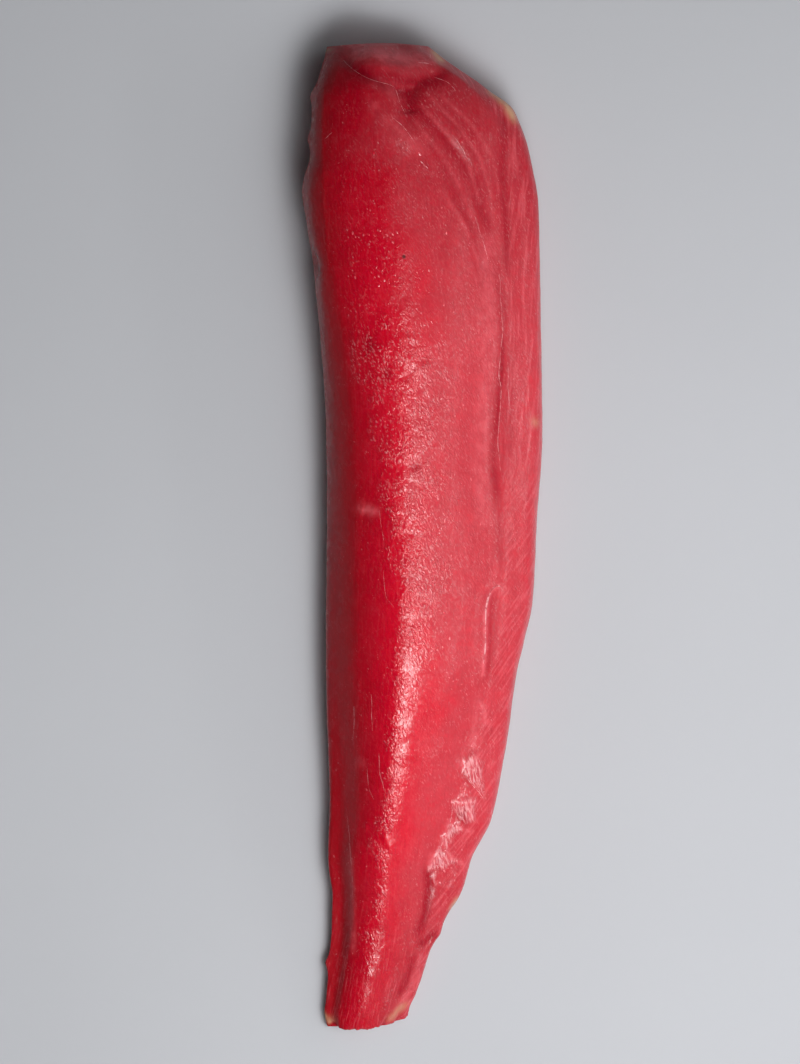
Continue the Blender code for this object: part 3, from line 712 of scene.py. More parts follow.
class LoinSurface:
    """The drawn loin at full detail: its grid, normals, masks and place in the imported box."""

    def __init__(self, form):
        rings = round(DRAWN_LENGTH / form.ring_gap * MM) + 1
        self.places = np.linspace(0.0, DRAWN_LENGTH, rings)
        sections, self.numbers = profiles(self.places)
        self.across = sections[:, :, 0].copy()
        self.distance = np.repeat(self.places[:, None], self.across.shape[1], axis=1)
        self.points = self.shaped(sections, form)
        self.normals = grid_normals(self.points)
        self.find_flow()
        self.find_box()

    def shaped(self, sections, form):
        """The grid with its relief, its uneven skin and its torn tail end."""
        across = self.across.copy()
        height = sections[:, :, 1].copy()
        distance = self.distance
        crest = along(CREST_HEIGHT, self.places)[:, None]
        upper = np.clip((height / crest - RELIEF_FOOT) / RELIEF_FADE, 0.0, 1.0)
        for relief, strength in ((MAIN_RELIEF, 1.0), (FINE_RELIEF, form.fine_relief)):
            for path, half_width, rise in relief:
                height += (rise * strength * upper
                           * near_path(across, distance, path, half_width))
        left_side = (np.clip((SIDE_PLACE - across) / SIDE_FADE, 0.0, 1.0)
                     * np.clip(height / SIDE_FOOT_FADE, 0.0, 1.0))
        for place, level, half_width, reach in SIDE_RELIEF + FINE_SIDE_RELIEF:
            gap = (distance - place) ** 2 + (height - level) ** 2
            across = across - reach * left_side * np.exp(-gap / half_width**2)
        cut_back = along(TAIL_CUT_BACK, across)
        keep = np.clip(1 - distance / TAIL_CUT_REACH, 0.0, 1.0)
        points = np.stack([across, distance + cut_back * keep, height], axis=2)

        # The skin is a little uneven everywhere but on the ground
        normals = grid_normals(points)
        free = ramp(height, *SWELL_FOOT)
        free = free * (END_SWELL + (1 - END_SWELL) * off_ends(distance, END_CALM))
        lumpy = 1.0 + form.lumpy_places * painted(across, distance, LUMPY_PLACES)
        swell = (form.waviness * layered(points, BROAD_SWELLS)
                 + form.lumpiness * lumpy * layered(points, SMALL_LUMPS))
        points = points + normals * (swell / MM * free)[:, :, None]
        torn = layered(points, TORN_TAIL) * np.clip(1 - distance / TORN_REACH, 0.0, 1.0)
        points[:, :, 1] += TORN_DEPTH * torn
        points[:, :, 2] = np.maximum(points[:, :, 2], 0.0)
        return points

    def find_flow(self):
        """Distance round the section from the crest, and along the loin, for the streaks."""
        steps = np.linalg.norm(np.diff(self.points, axis=1), axis=2)
        run = np.concatenate([np.zeros((len(steps), 1)), np.cumsum(steps, axis=1)], axis=1)
        crest = int(np.argmin(abs(self.numbers - CREST)))
        run = run - run[:, crest:crest + 1]
        self.flow = np.stack([run, self.distance, np.zeros_like(run)], axis=2)

    def find_box(self):
        """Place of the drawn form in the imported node's box."""
        low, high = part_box(NODE)
        self.low = self.points.reshape(-1, 3).min(axis=0)
        self.high = self.points.reshape(-1, 3).max(axis=0)
        self.low[1] -= TAIL_FACE_BULGE
        self.high[1] += HEAD_FACE_BULGE
        self.box_low = np.array(low)
        self.scale = (np.array(high) - self.box_low) / (self.high - self.low)

    def placed(self, points):
        """Drawn points in metres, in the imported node's box."""
        return (points - self.low) * self.scale + self.box_low

    def masks(self):
        """Where the flesh has which look, each from 0 to 1."""
        across, distance = self.across, self.distance
        numbers = self.numbers[None, :] * np.ones_like(across)
        crest, seam, edge, reach, strength, crest_height = [
            along(line, self.places)[:, None]
            for line in (CREST_PLACE, SEAM_PLACE, BAND_EDGE, BAND_REACH, BAND_STRENGTH,
                         CREST_HEIGHT)]
        top = between(numbers, TOP_RISE, TOP_FALL)

        wander = layered(self.points, CORAL_WANDER)
        coral = ((across - crest) / (seam - crest) + wander
                 + HEAD_CORAL * ramp(distance, *HEAD_CORAL_RISE)
                 - TAIL_CRIMSON * falling(distance, *TAIL_CRIMSON_FALL)
                 - LOWER_CRIMSON * between(distance, LOWER_CRIMSON_RISE, LOWER_CRIMSON_FALL))

        inward = across - edge + BAND_SHIFT + layered(self.points, BAND_WANDER)
        patchy = GRAIN_MEAN + layered(self.points, GRAIN_PATCHES)
        grain = ramp(inward, *BAND_RISE) * falling(inward / reach, *BAND_FALL) * patchy

        facets = np.zeros_like(across)
        ragged = [place + FACET_WANDER * uneven(self.points, FACET_WAVE, seed)
                  for place, seed in zip((across, distance), FACET_SEEDS)]
        for corners in FACETS:
            facets = np.maximum(facets, inside(*ragged, corners, FACET_EDGE))

        fat_level = ramp(self.points[:, :, 2] / crest_height, *FAT_LEVEL)
        return {
            "coral": ramp(coral, *CORAL_SHARES),
            "side": np.maximum(falling(numbers - LEFT_SIDE_WANDER * wander, *LEFT_SIDE_FALL),
                               ramp(numbers, *RIGHT_SIDE_RISE)),
            "grain": np.clip(strength * grain, 0.0, 1.0) * top,
            "facets": facets * top,
            "flap": between(numbers, FLAP_RISE, FLAP_FALL),
            "rim": between(numbers, RIM_RISE, RIM_FALL) * ramp(distance, *RIM_DISTANCE),
            # Painted shade in the creases and pits
            "deep": painted(across, distance, CREASE_SHADE_PLACES) * top,
            "pale": painted(across, distance, PALE_PLACES) * top,
            "fat": (painted(across, distance, FAT_PLACES) * fat_level
                    * off_ends(distance, FAT_OFF_END)),
        }

    def row_at(self, distance):
        """Grid row of a distance along the loin."""
        return np.clip(distance / DRAWN_LENGTH * (len(self.places) - 1), 0, len(self.places) - 1)

    def on_top(self, across, distance):
        """Point and normal of the skin at a place seen from above."""
        row = float(self.row_at(distance))
        first = int(np.searchsorted(self.numbers, LEFT_BULGE))
        last = int(np.searchsorted(self.numbers, RIGHT_BULGE)) + 1
        low_row = min(int(row), len(self.places) - 2)
        found = []
        for ring in (low_row, low_row + 1):
            xs = self.points[ring, first:last, 0]
            column = float(np.interp(across, xs, np.arange(last - first)))
            low = first + min(int(column), last - first - 2)
            t = column + first - low
            found.append([grid[ring, low] * (1 - t) + grid[ring, low + 1] * t
                          for grid in (self.points, self.normals)])
        share = row - low_row
        point, normal = [near * (1 - share) + far * share for near, far in zip(*found)]
        return point, normal / np.linalg.norm(normal)


def end_face(ring, bulge):
    """Inner rings and the middle point of an end face, bulged along +Y or -Y."""
    middle = ring.mean(axis=0)
    inner = []
    for share in END_FACE_RINGS:
        loop = middle + (ring - middle) * share
        loop[:, 1] += bulge * (1 - share**2)
        inner.append(loop)
    return inner, middle + np.array([0.0, bulge, 0.0])


def add_layer(mesh, name, values, kind="FLOAT", field="value"):
    """Stores one number, or a vector, for each vertex."""
    layer = mesh.attributes.new(name, kind, "POINT")
    layer.data.foreach_set(field, np.asarray(values, dtype=np.float32).ravel())


def linked(name, data):
    """A new object in the scene."""
    item = bpy.data.objects.new(name, data)
    bpy.context.scene.collection.objects.link(item)
    return item


def make_piece(name, points, faces, material):
    """A smooth mesh piece that rides on the loin's body."""
    mesh = bpy.data.meshes.new(name)
    mesh.from_pydata(points.tolist(), [], faces)
    mesh.update()
    mesh.shade_smooth()
    mesh.materials.append(material)
    piece = linked(name, mesh)
    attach(piece, BODY)
    return piece


def faces_between(rows, around):
    """Quads between closed rings of points that follow each other."""
    faces = []
    for row in range(rows - 1):
        for column in range(around):
            following = (column + 1) % around
            faces.append((row * around + column, row * around + following,
                          (row + 1) * around + following, (row + 1) * around + column))
    return faces


def loin_mesh_data(surface):
    """Points, faces and per-vertex layers of the loin, with its two end faces."""
    tail_rings, tail_middle = end_face(surface.points[0], -TAIL_FACE_BULGE)
    head_rings, head_middle = end_face(surface.points[-1], HEAD_FACE_BULGE)
    rings = tail_rings[::-1] + list(surface.points) + head_rings
    around = surface.points.shape[1]
    points = np.concatenate(rings + [tail_middle[None], head_middle[None]])

    faces = faces_between(len(rings), around)
    tail_vert = len(rings) * around
    last_row = (len(rings) - 1) * around
    for column in range(around):
        following = (column + 1) % around
        faces.append((following, column, tail_vert))
        faces.append((last_row + column, last_row + following, tail_vert + 1))

    def spread(grid):
        """A grid's values for every vertex, evened out towards the middle of the end faces."""
        means = [grid[end].mean(axis=0) for end in (0, -1)]
        tail, head = [[mean + (grid[end] - mean) * share**2 for share in END_FACE_RINGS]
                      for end, mean in zip((0, -1), means)]
        whole = np.array(tail[::-1] + list(grid) + head)
        flat = whole.reshape(-1, *grid.shape[2:])
        return np.concatenate([flat, means[0][None], means[1][None]])

    return points, faces, spread


# Layout of the shader nodes in the editor
NODE_COLUMNS = 12
NODE_STEP = (-260, -240)
# Numbers of a mix node's sockets for colours and for numbers: its two inputs and its result
MIX_SOCKETS = {"RGBA": (6, 7, 2), "FLOAT": (2, 3, 0)}


class Nodes:
    """Short way to add and join shader nodes."""

    def __init__(self, material):
        material.use_nodes = True
        self.tree = material.node_tree
        self.shader = self.tree.nodes["Principled BSDF"]
        self.count = 0
        self.colour = None

    def add(self, kind, settings=None, **inputs):
        """A node with its settings, and its inputs by name."""
        node = self.tree.nodes.new(kind)
        self.count += 1
        node.location = (NODE_STEP[0] * (self.count % NODE_COLUMNS + 1),
                         NODE_STEP[1] * (self.count // NODE_COLUMNS))
        for name, value in (settings or {}).items():
            setattr(node, name, value)
        for name, value in inputs.items():
            self.feed(node.inputs[name.replace("_", " ")], value)
        return node

    def feed(self, socket, value):
        """Links a socket's output to an input, or sets the input to a value or a colour."""
        if isinstance(value, bpy.types.NodeSocket):
            self.tree.links.new(value, socket)
        else:
            socket.default_value = (*value, 1) if socket.type == "RGBA" else value

    def layer(self, name, output="Fac"):
        """A value that the mesh stores for each vertex."""
        return self.add("ShaderNodeAttribute", {"attribute_name": name}).outputs[output]

    def object_place(self):
        """Place on the object, in metres."""
        return self.add("ShaderNodeTexCoord").outputs["Object"]

    def set_inputs(self, **values):
        """Sets or links inputs of the shader, by name."""
        for name, value in values.items():
            self.feed(self.shader.inputs[name.replace("_", " ")], value)

    def math(self, operation, *values, clamp=False):
        node = self.add("ShaderNodeMath", {"operation": operation, "use_clamp": clamp})
        for socket, value in zip(node.inputs, values):
            self.feed(socket, value)
        return node.outputs[0]

    def product(self, first, *others):
        """Product of several values."""
        for other in others:
            first = self.math("MULTIPLY", first, other)
        return first

    def total(self, first, *others):
        """Sum of several values."""
        for other in others:
            first = self.math("ADD", first, other)
        return first

    def mix(self, share, first, second, kind="RGBA"):
        """A colour between two others, or a number where the kind is FLOAT."""
        node = self.add("ShaderNodeMix", {"data_type": kind})
        low, high, result = MIX_SOCKETS[kind]
        for number, value in ((0, share), (low, first), (high, second)):
            self.feed(node.inputs[number], value)
        return node.outputs[result]

    def paint(self, share, colour):
        """Lays a plain colour over the colour so far."""
        self.colour = self.mix(share, self.colour, colour)

    def grade(self, value, low, high, to_low=0.0, to_high=1.0):
        """A smooth step between two limits, from one result to another."""
        node = self.add("ShaderNodeMapRange", {"interpolation_type": "SMOOTHSTEP"},
                        From_Min=low, From_Max=high, To_Min=to_low, To_Max=to_high)
        self.feed(node.inputs[0], value)
        return node.outputs[0]

    def noise(self, vector, scale, detail=2.0, roughness=0.5, distortion=0.0):
        """Cloudy texture."""
        node = self.add("ShaderNodeTexNoise", Vector=vector, Scale=scale, Detail=detail,
                        Roughness=roughness, Distortion=distortion)
        return node.outputs[0]

    def stretched(self, vector, turn, across, lengthwise):
        """A vector turned in the plane of the flow, with bumps of those sizes in mm."""
        turned = self.add("ShaderNodeMapping", Vector=vector, Rotation=(0.0, 0.0, turn))
        return self.add("ShaderNodeMapping", Vector=turned.outputs[0],
                        Scale=(1 / across, 1 / lengthwise, 1.0)).outputs[0]

    def streaks(self, flow, turn, across, lengthwise, detail, roughness, distortion=0.0):
        """Streaky texture: its turn in degrees, and the size of its bumps in millimetres."""
        vector = self.stretched(flow, math.radians(turn), across, lengthwise)
        return self.noise(vector, 1.0, detail, roughness, distortion)

    def bump(self, height, distance):
        """A normal that follows a height."""
        return self.add("ShaderNodeBump", Height=height, Distance=distance,
                        Strength=1.0).outputs[0]


# Cloudy textures: (bumps a metre, detail, roughness)
MOTTLE = (42.0, 4.0, 0.55)
BLOTCH = (95.0, 3.0, 0.6)
CLOUD = (150.0, 3.0, 0.6)
SPECKLE = (420.0, 3.0, 0.65)
FLECK = (900.0, 1.0)
FINE = (1900.0, 2.0)
# Streaky textures: (turn in degrees, size across and size along in millimetres, detail,
# roughness, distortion)
FIBRE = (0, 1.3, 16.0, 3.0, 0.6)
SLANTED_FIBRE = (38, 2.0, 18.0, 3.0, 0.6)
STEEP_FIBRE = (9, 2.8, 26.0, 3.0, 0.6)
DASH = (-32, 0.9, 3.2, 2.0, 0.6, 0.3)
CRINKLE = (-25, 1.4, 2.6, 2.0, 0.5, 0.7)
SHEEN = (-20, 1.2, 5.0, 3.0, 0.6, 0.4)

# Smooth steps: two limits of a texture or a distance, and the results there where those aren't
# 0 and 1 or a property
MOTTLE_TONE = (0.25, 0.75, -0.3, 0.3)
SPECKLE_TONE = (0.3, 0.7, -0.10, 0.10)
BLOTCH_CRIMSON = (0.45, 0.28, 0.0, 0.45)
SPECKLE_SHADE = (0.32, 0.68, 0.97, 1.05)
CLOUD_SHADE = (0.32, 0.68, -0.04, 0.04)
MOTTLE_SHADE = (0.3, 0.7, -0.05, 0.05)
# Painted shade: the head end and the tail end darken over these distances
HEAD_DARKENS = (360.0, 560.0)
TAIL_DARKENS = (120.0, 20.0)
FLAP_FIBRE_TURNS = (330.0, 300.0)
STRIPE_PALE = (0.46, 0.66, 0.0, 0.34)
STREAK_PALE = (0.52, 0.72)
STREAK_BY_DISTANCE = (80.0, 10.0, 0.10, 0.42)
FIBRE_DARK = (0.44, 0.28, 0.0, 0.25)
DASH_PALE = (0.54, 0.68)
DASH_BY_CORAL = (0.1, 0.7, 0.3, 1.0)
DASH_BY_BLOTCH = (0.42, 0.58, 0.25, 1.0)
DASH_CRIMSON = (0.46, 0.34)
FILM_BY_CLOUD = (0.36, 0.62, 0.35, 0.9)
SPOT_PALE = (0.71, 0.77)
SPOT_BY_BLOTCH = (0.45, 0.6, 0.0, 0.4)
DOT_DOME = (0.46, 0.05)
DOTS_BY_BLOTCH = (0.40, 0.60, 0.1, 1.2)
DOTS_BY_GRAIN = (0.0, 1.0, 0.003, 0.30)
RIDGE_PALE = (0.56, 0.67)
RIDGE_BY_GRAIN = (0.0, 1.0, 0.10, 1.0)
HOLLOW_CRIMSON = (0.44, 0.34, 0.0, 0.45)
SHEEN_PALE = (0.42, 0.60, 0.05, 0.85)
RIM_BY_CLOUD = (0.3, 0.7, 0.1, 0.8)
FAT_BY_CLOUD = (0.3, 0.6, 0.6, 1.0)
SPECK_EDGE = (1.6, 0.5, 0.0, 0.85)
ROUGH_BY_CORAL = (0.0, 0.6, 0.24, 0.50)
ROUGH_BY_CLOUD = (0.3, 0.7, -0.06, 0.06)
WET_BY_SIDE = (0.0, 0.45)
WET_BY_DISTANCE = (340.0, 500.0, 1.0, 0.35)
WET_BY_CREASE = (0.0, 0.7, 1.0, 0.15)

# Shares: how fully the side takes its colour, how wet it is, how much stronger the painted pit
# shade between the dashes is, and how high the grain is beside the grainy band
SIDE_STRENGTH = 0.9
SIDE_WETNESS = 0.1
DASH_CRIMSON_SHARE = 1.5
GRAIN_BESIDE = 0.20
# The fine wet dots' turn in degrees, and how much longer than wide they are
DOT_TURN = -25
DOT_LONGER = 1.5

# How the flesh and the water on it bend and spread light
FLESH_IOR = 1.40
FLESH_SPECULAR = 0.12
FLESH_SCATTER = (1.0, 0.22, 0.16)
FLESH_SCATTER_SIZE = 0.003
WET_IOR = 1.45


def wet_dots(nodes, flow, blotch, grain, look):
    """Low domes of fine wet dots: many in the grainy band, fewer beside it."""
    vector = nodes.stretched(flow, math.radians(DOT_TURN), look.dot_gap,
                             DOT_LONGER * look.dot_gap)
    cells = nodes.add("ShaderNodeTexVoronoi", {"voronoi_dimensions": "2D"}, Vector=vector,
                      Scale=1.0, Randomness=1.0)
    chance = nodes.add("ShaderNodeSeparateColor", Color=cells.outputs["Color"]).outputs[0]
    crowded = nodes.product(nodes.grade(blotch, *DOTS_BY_BLOTCH),
                            nodes.grade(grain, *DOTS_BY_GRAIN))
    return nodes.product(nodes.grade(cells.outputs["Distance"], *DOT_DOME),
                         nodes.math("LESS_THAN", chance, crowded))


def flesh_material(look):
    """Wet red flesh: crimson to coral, with fibres, films, fat and a grainy wet skin."""
    material = bpy.data.materials.new("wet_red_flesh")
    nodes = Nodes(material)
    flow = nodes.layer("flow", "Vector")
    distance = nodes.add("ShaderNodeSeparateXYZ", Vector=flow).outputs["Y"]
    coral, side, flap, rim, deep, grain, pale, fat, facets = [
        nodes.layer(name)
        for name in ("coral", "side", "flap", "rim", "deep", "grain", "pale", "fat", "facets")]
    place = nodes.object_place()
    mottle, blotch, cloud, speckle, fleck, fine = [
        nodes.noise(place, *texture)
        for texture in (MOTTLE, BLOTCH, CLOUD, SPECKLE, FLECK, FINE)]
    fibre, slanted, steep, dash, crinkle, sheen = [
        nodes.streaks(flow, *texture)
        for texture in (FIBRE, SLANTED_FIBRE, STEEP_FIBRE, DASH, CRINKLE, SHEEN)]
    flap_fibre = nodes.mix(nodes.grade(distance, *FLAP_FIBRE_TURNS), steep, slanted, "FLOAT")
    dome = wet_dots(nodes, flow, blotch, grain, look)

    # Colour, from the deep red of the left to the lighter red of the right, which is partly a
    # painted sheen of the lit right slope
    tone = nodes.math("ADD", coral, nodes.grade(mottle, *MOTTLE_TONE))
    tone = nodes.math("ADD", tone, nodes.grade(speckle, *SPECKLE_TONE), clamp=True)
    nodes.colour = nodes.mix(tone, look.crimson, look.coral)
    nodes.paint(nodes.grade(blotch, *BLOTCH_CRIMSON), look.crimson)
    shade = nodes.total(nodes.grade(speckle, *SPECKLE_SHADE), nodes.grade(cloud, *CLOUD_SHADE),
                        nodes.grade(mottle, *MOTTLE_SHADE))
    # Painted shade: darker towards the head end and the tail end
    shade = nodes.product(shade, nodes.grade(distance, *HEAD_DARKENS, 1.0, look.head_painted_shade),
                          nodes.grade(distance, *TAIL_DARKENS, 1.0, look.tail_painted_shade))
    shaded = nodes.add("ShaderNodeVectorMath", {"operation": "SCALE"}, Scale=shade)
    nodes.feed(shaded.inputs[0], nodes.colour)
    nodes.colour = shaded.outputs[0]
    nodes.paint(nodes.product(side, SIDE_STRENGTH), look.side)

    # Stripes of the flap, painted shade in the creases, fibres, and dashes of painted glints
    nodes.paint(nodes.product(flap, nodes.grade(flap_fibre, *STRIPE_PALE)), look.pale_flesh)
    # Painted shade in the creases and pits
    nodes.paint(deep, look.crease)
    streak = nodes.product(nodes.grade(fibre, *STREAK_PALE),
                           nodes.grade(distance, *STREAK_BY_DISTANCE))
    nodes.paint(streak, look.pale_flesh)
    nodes.paint(nodes.grade(fibre, *FIBRE_DARK), look.crease)
    # Painted glints: fine pale dashes
    dash_glint = nodes.product(nodes.grade(dash, *DASH_PALE, 0.0, look.dash_glint_paleness),
                              nodes.grade(coral, *DASH_BY_CORAL),
                              nodes.grade(blotch, *DASH_BY_BLOTCH))
    nodes.paint(dash_glint, look.film)
    # Painted shade of small crimson pits between the dashes
    dash_pit_shade_strength = DASH_CRIMSON_SHARE * look.dash_glint_paleness
    nodes.paint(nodes.grade(dash, *DASH_CRIMSON, 0.0, dash_pit_shade_strength), look.crimson)

    # Films, spots, wet dots, the crinkled band and the glossy facets, with painted light,
    # painted glints and painted shade among them
    # Pale films, and painted light on the lobe of the head end, the hooked lip and the flakes
    # near the tail
    nodes.paint(nodes.product(pale, nodes.grade(cloud, *FILM_BY_CLOUD)), look.pale_flesh)
    # Painted glints: small pale specks in clusters
    spots = nodes.product(nodes.grade(fleck, *SPOT_PALE), nodes.grade(blotch, *SPOT_BY_BLOTCH))
    nodes.paint(spots, look.film)
    # Painted glints on the fine wet dots
    nodes.paint(nodes.product(dome, look.dot_glint_paleness), look.film)
    # Painted glints on the ridges of the crinkled band
    painted_ridge_glint = nodes.product(nodes.grade(grain, *RIDGE_BY_GRAIN),
                          nodes.grade(crinkle, *RIDGE_PALE, 0.0, look.ridge_glint_paleness))
    nodes.paint(painted_ridge_glint, look.film)
    # Painted shade in the hollows of the crinkled band
    nodes.paint(nodes.product(grain, nodes.grade(crinkle, *HOLLOW_CRIMSON)), look.crimson)
    # Painted highlight on the glossy facets, in streaks
    nodes.paint(nodes.product(facets, nodes.grade(sheen, *SHEEN_PALE)), look.film)

    # The thin edge, the fat and the dark speck
    nodes.paint(nodes.product(rim, nodes.grade(cloud, *RIM_BY_CLOUD)), look.rim)
    nodes.paint(nodes.product(fat, nodes.grade(cloud, *FAT_BY_CLOUD)), look.fat)
    from_speck = nodes.add("ShaderNodeVectorMath", {"operation": "DISTANCE"})
    nodes.feed(from_speck.inputs[0], flow)
    nodes.feed(from_speck.inputs[1], SPECK_FLOW)
    nodes.paint(nodes.grade(from_speck.outputs["Value"], *SPECK_EDGE), look.speck_colour)

    # Heights are in millimetres
    grainy = nodes.grade(grain, 0.0, 1.0, GRAIN_BESIDE * look.grain_height, look.grain_height)
    height = nodes.total(*[nodes.product(*factors) for factors in (
        (fine, look.fine_height), (fibre, look.fibre_height), (speckle, look.speckle_height),
        (blotch, look.blotch_height), (flap_fibre, flap, look.stripe_height),
        (facets, sheen, look.sheen_height), (crinkle, grainy), (dome, look.dot_height))])
    normal = nodes.bump(height, MM)

    rough = nodes.total(nodes.grade(coral, *ROUGH_BY_CORAL), nodes.grade(cloud, *ROUGH_BY_CLOUD))
    wet = nodes.product(nodes.grade(side, *WET_BY_SIDE, look.wetness, SIDE_WETNESS),
                        nodes.grade(distance, *WET_BY_DISTANCE),
                        nodes.grade(deep, *WET_BY_CREASE))
    nodes.set_inputs(
        Base_Color=nodes.colour, Roughness=rough, Normal=normal, IOR=FLESH_IOR,
        Specular_IOR_Level=FLESH_SPECULAR, Subsurface_Weight=look.subsurface,
        Subsurface_Radius=FLESH_SCATTER, Subsurface_Scale=FLESH_SCATTER_SIZE,
        Coat_Weight=wet, Coat_Roughness=look.wet_roughness, Coat_IOR=WET_IOR,
        Coat_Normal=normal)
    return material


# Textures and steps of the films, the beads and the floor, as those of the flesh
FILM_CLOUD = (300.0, 3.0, 0.6)
FILM_GRAIN = (1500.0, 2.0)
FILM_GRAIN_HEIGHT = 0.05 * MM
FILM_COLOUR_STEP = (0.38, 0.58)
FILM_ROUGHNESS = (0.3, 0.7, 0.30, 0.48)
FILM_SUBSURFACE = 0.3
FILM_SCATTER = (1.0, 0.4, 0.4)
FILM_SCATTER_SIZE = 0.001
FILM_WETNESS = 0.5
BEAD_CLOUD = (60.0, 2.0)
BEAD_COLOUR_STEP = (0.35, 0.65)
BEAD_ROUGHNESS = (0.3, 0.7, 0.08, 0.2)
BEAD_COAT_ROUGHNESS = 0.05
FLOOR_CLOUD = (3.0, 2.0)
FLOOR_COLOUR_STEP = (0.3, 0.7)
FLOOR_DARKER = 0.97
FLOOR_ROUGHNESS = 0.7


def film_material(look):
    """Thin wet film, paler than the flesh that it lies on."""
    material = bpy.data.materials.new("thin_pale_film")
    nodes = Nodes(material)
    place = nodes.object_place()
    cloud = nodes.noise(place, *FILM_CLOUD)
    colour = nodes.mix(nodes.grade(cloud, *FILM_COLOUR_STEP), look.coral, look.film)
    grain = nodes.noise(place, *FILM_GRAIN)
    nodes.set_inputs(
        Base_Color=colour, Roughness=nodes.grade(cloud, *FILM_ROUGHNESS),
        Normal=nodes.bump(grain, FILM_GRAIN_HEIGHT), Subsurface_Weight=FILM_SUBSURFACE,
        Subsurface_Radius=FILM_SCATTER, Subsurface_Scale=FILM_SCATTER_SIZE,
        Coat_Weight=FILM_WETNESS * look.wetness, Coat_Roughness=look.wet_roughness)
    return material


def bead_material(look):
    """Wet beads that take the red of the flesh under them."""
    material = bpy.data.materials.new("wet_beads")
    nodes = Nodes(material)
    cloud = nodes.noise(nodes.object_place(), *BEAD_CLOUD)
    colour = nodes.mix(nodes.grade(cloud, *BEAD_COLOUR_STEP), look.crimson, look.pale_flesh)
    nodes.set_inputs(
        Base_Color=colour, Roughness=nodes.grade(cloud, *BEAD_ROUGHNESS), IOR=WET_IOR,
        Coat_Weight=1.0, Coat_Roughness=BEAD_COAT_ROUGHNESS)
    return material


def floor_material(setup):
    """Plain matt floor."""
    material = bpy.data.materials.new("plain_floor")
    nodes = Nodes(material)
    cloud = nodes.noise(nodes.object_place(), *FLOOR_CLOUD)
    darker = [value * FLOOR_DARKER for value in setup.floor_colour]
    colour = nodes.mix(nodes.grade(cloud, *FLOOR_COLOUR_STEP), setup.floor_colour, darker)
    nodes.set_inputs(Base_Color=colour, Roughness=FLOOR_ROUGHNESS)
    return material


def uneven_along(runs, seed, rate, *steps):
    """Smooth noise from -1 to 1 along a film."""
    return np.array([noise.noise(Vector((run * rate, *(seed * step for step in steps))))
                     for run in runs])


def ribbon(surface, path, width, seed):
    """Points and faces of one thin raised ribbon that follows the flesh."""
    path = np.array(path, dtype=float)
    reach = np.concatenate([[0], np.cumsum(np.linalg.norm(np.diff(path, axis=0), axis=1))])
    count = max(LEAST_THREAD_POINTS, int(reach[-1] / THREAD_STEP))
    runs = np.linspace(0, reach[-1], count)
    curve = np.stack([along(np.stack([reach, path[:, axis]], axis=1), runs)
                      for axis in (0, 1)], axis=1)
    curve[:, 0] += THREAD_SWAY * uneven_along(runs, seed, *SWAY_NOISE)
    spine, up = [], []
    for across, distance in curve:
        point, normal = surface.on_top(across, distance)
        spine.append(point)
        up.append(normal)
    spine, up = np.array(spine), np.array(up)
    tangent = np.gradient(spine, axis=0)
    tangent /= np.linalg.norm(tangent, axis=1, keepdims=True)
    side = np.cross(tangent, up)
    taper = np.sin(np.pi * np.linspace(*THREAD_TAPER, count)) ** 0.5
    patchy = THREAD_PATCHES[0] + THREAD_PATCHES[1] * uneven_along(runs, seed, *PATCH_NOISE)
    half = (0.5 * THREAD_WIDTH * width * taper * patchy)[:, None]
    lift = THREAD_LIFT * half
    edge, sink = side * half, up * THREAD_EDGE_SINK
    shoulder, shoulder_lift = edge * THREAD_SHOULDER[0], up * lift * THREAD_SHOULDER[1]
    strips = [spine - edge - sink, spine - shoulder + shoulder_lift, spine + up * lift,
              spine + shoulder + shoulder_lift, spine + edge - sink,
              spine - up * THREAD_FOOT_SINK]
    points = np.stack(strips, axis=1).reshape(-1, 3)
    ring = len(strips)
    faces = faces_between(count, ring)
    faces.append(tuple(range(ring - 1, -1, -1)))
    faces.append(tuple((count - 1) * ring + column for column in range(ring)))
    return points, faces


def bead_places():
    """Where the wet beads sit, and how wide they are."""
    draw = random.Random(BEAD_SEED)
    chosen = [(across, distance, BEAD_RADIUS[1], draw.uniform(*BEAD_STRETCH),
               draw.uniform(*BEAD_TURN)) for across, distance in BEAD_SPOTS]
    for path, spread, number in BEAD_SWARMS:
        path = np.array(path, dtype=float)
        for _bead in range(number):
            at = draw.uniform(0, len(path) - 1)
            low = min(int(at), len(path) - 2)
            across, distance = path[low] + (path[low + 1] - path[low]) * (at - low)
            across += draw.gauss(0, spread)
            distance += draw.gauss(0, spread)
            radius = draw.uniform(*BEAD_RADIUS)
            clear = all(math.hypot(across - other[0], distance - other[1]) > BEAD_GAP
                        for other in chosen)
            if clear and BEAD_OFF_TAIL < distance < DRAWN_LENGTH - BEAD_OFF_HEAD:
                chosen.append((across, distance, radius, draw.uniform(*BEAD_STRETCH),
                               draw.uniform(*BEAD_TURN)))
    return chosen


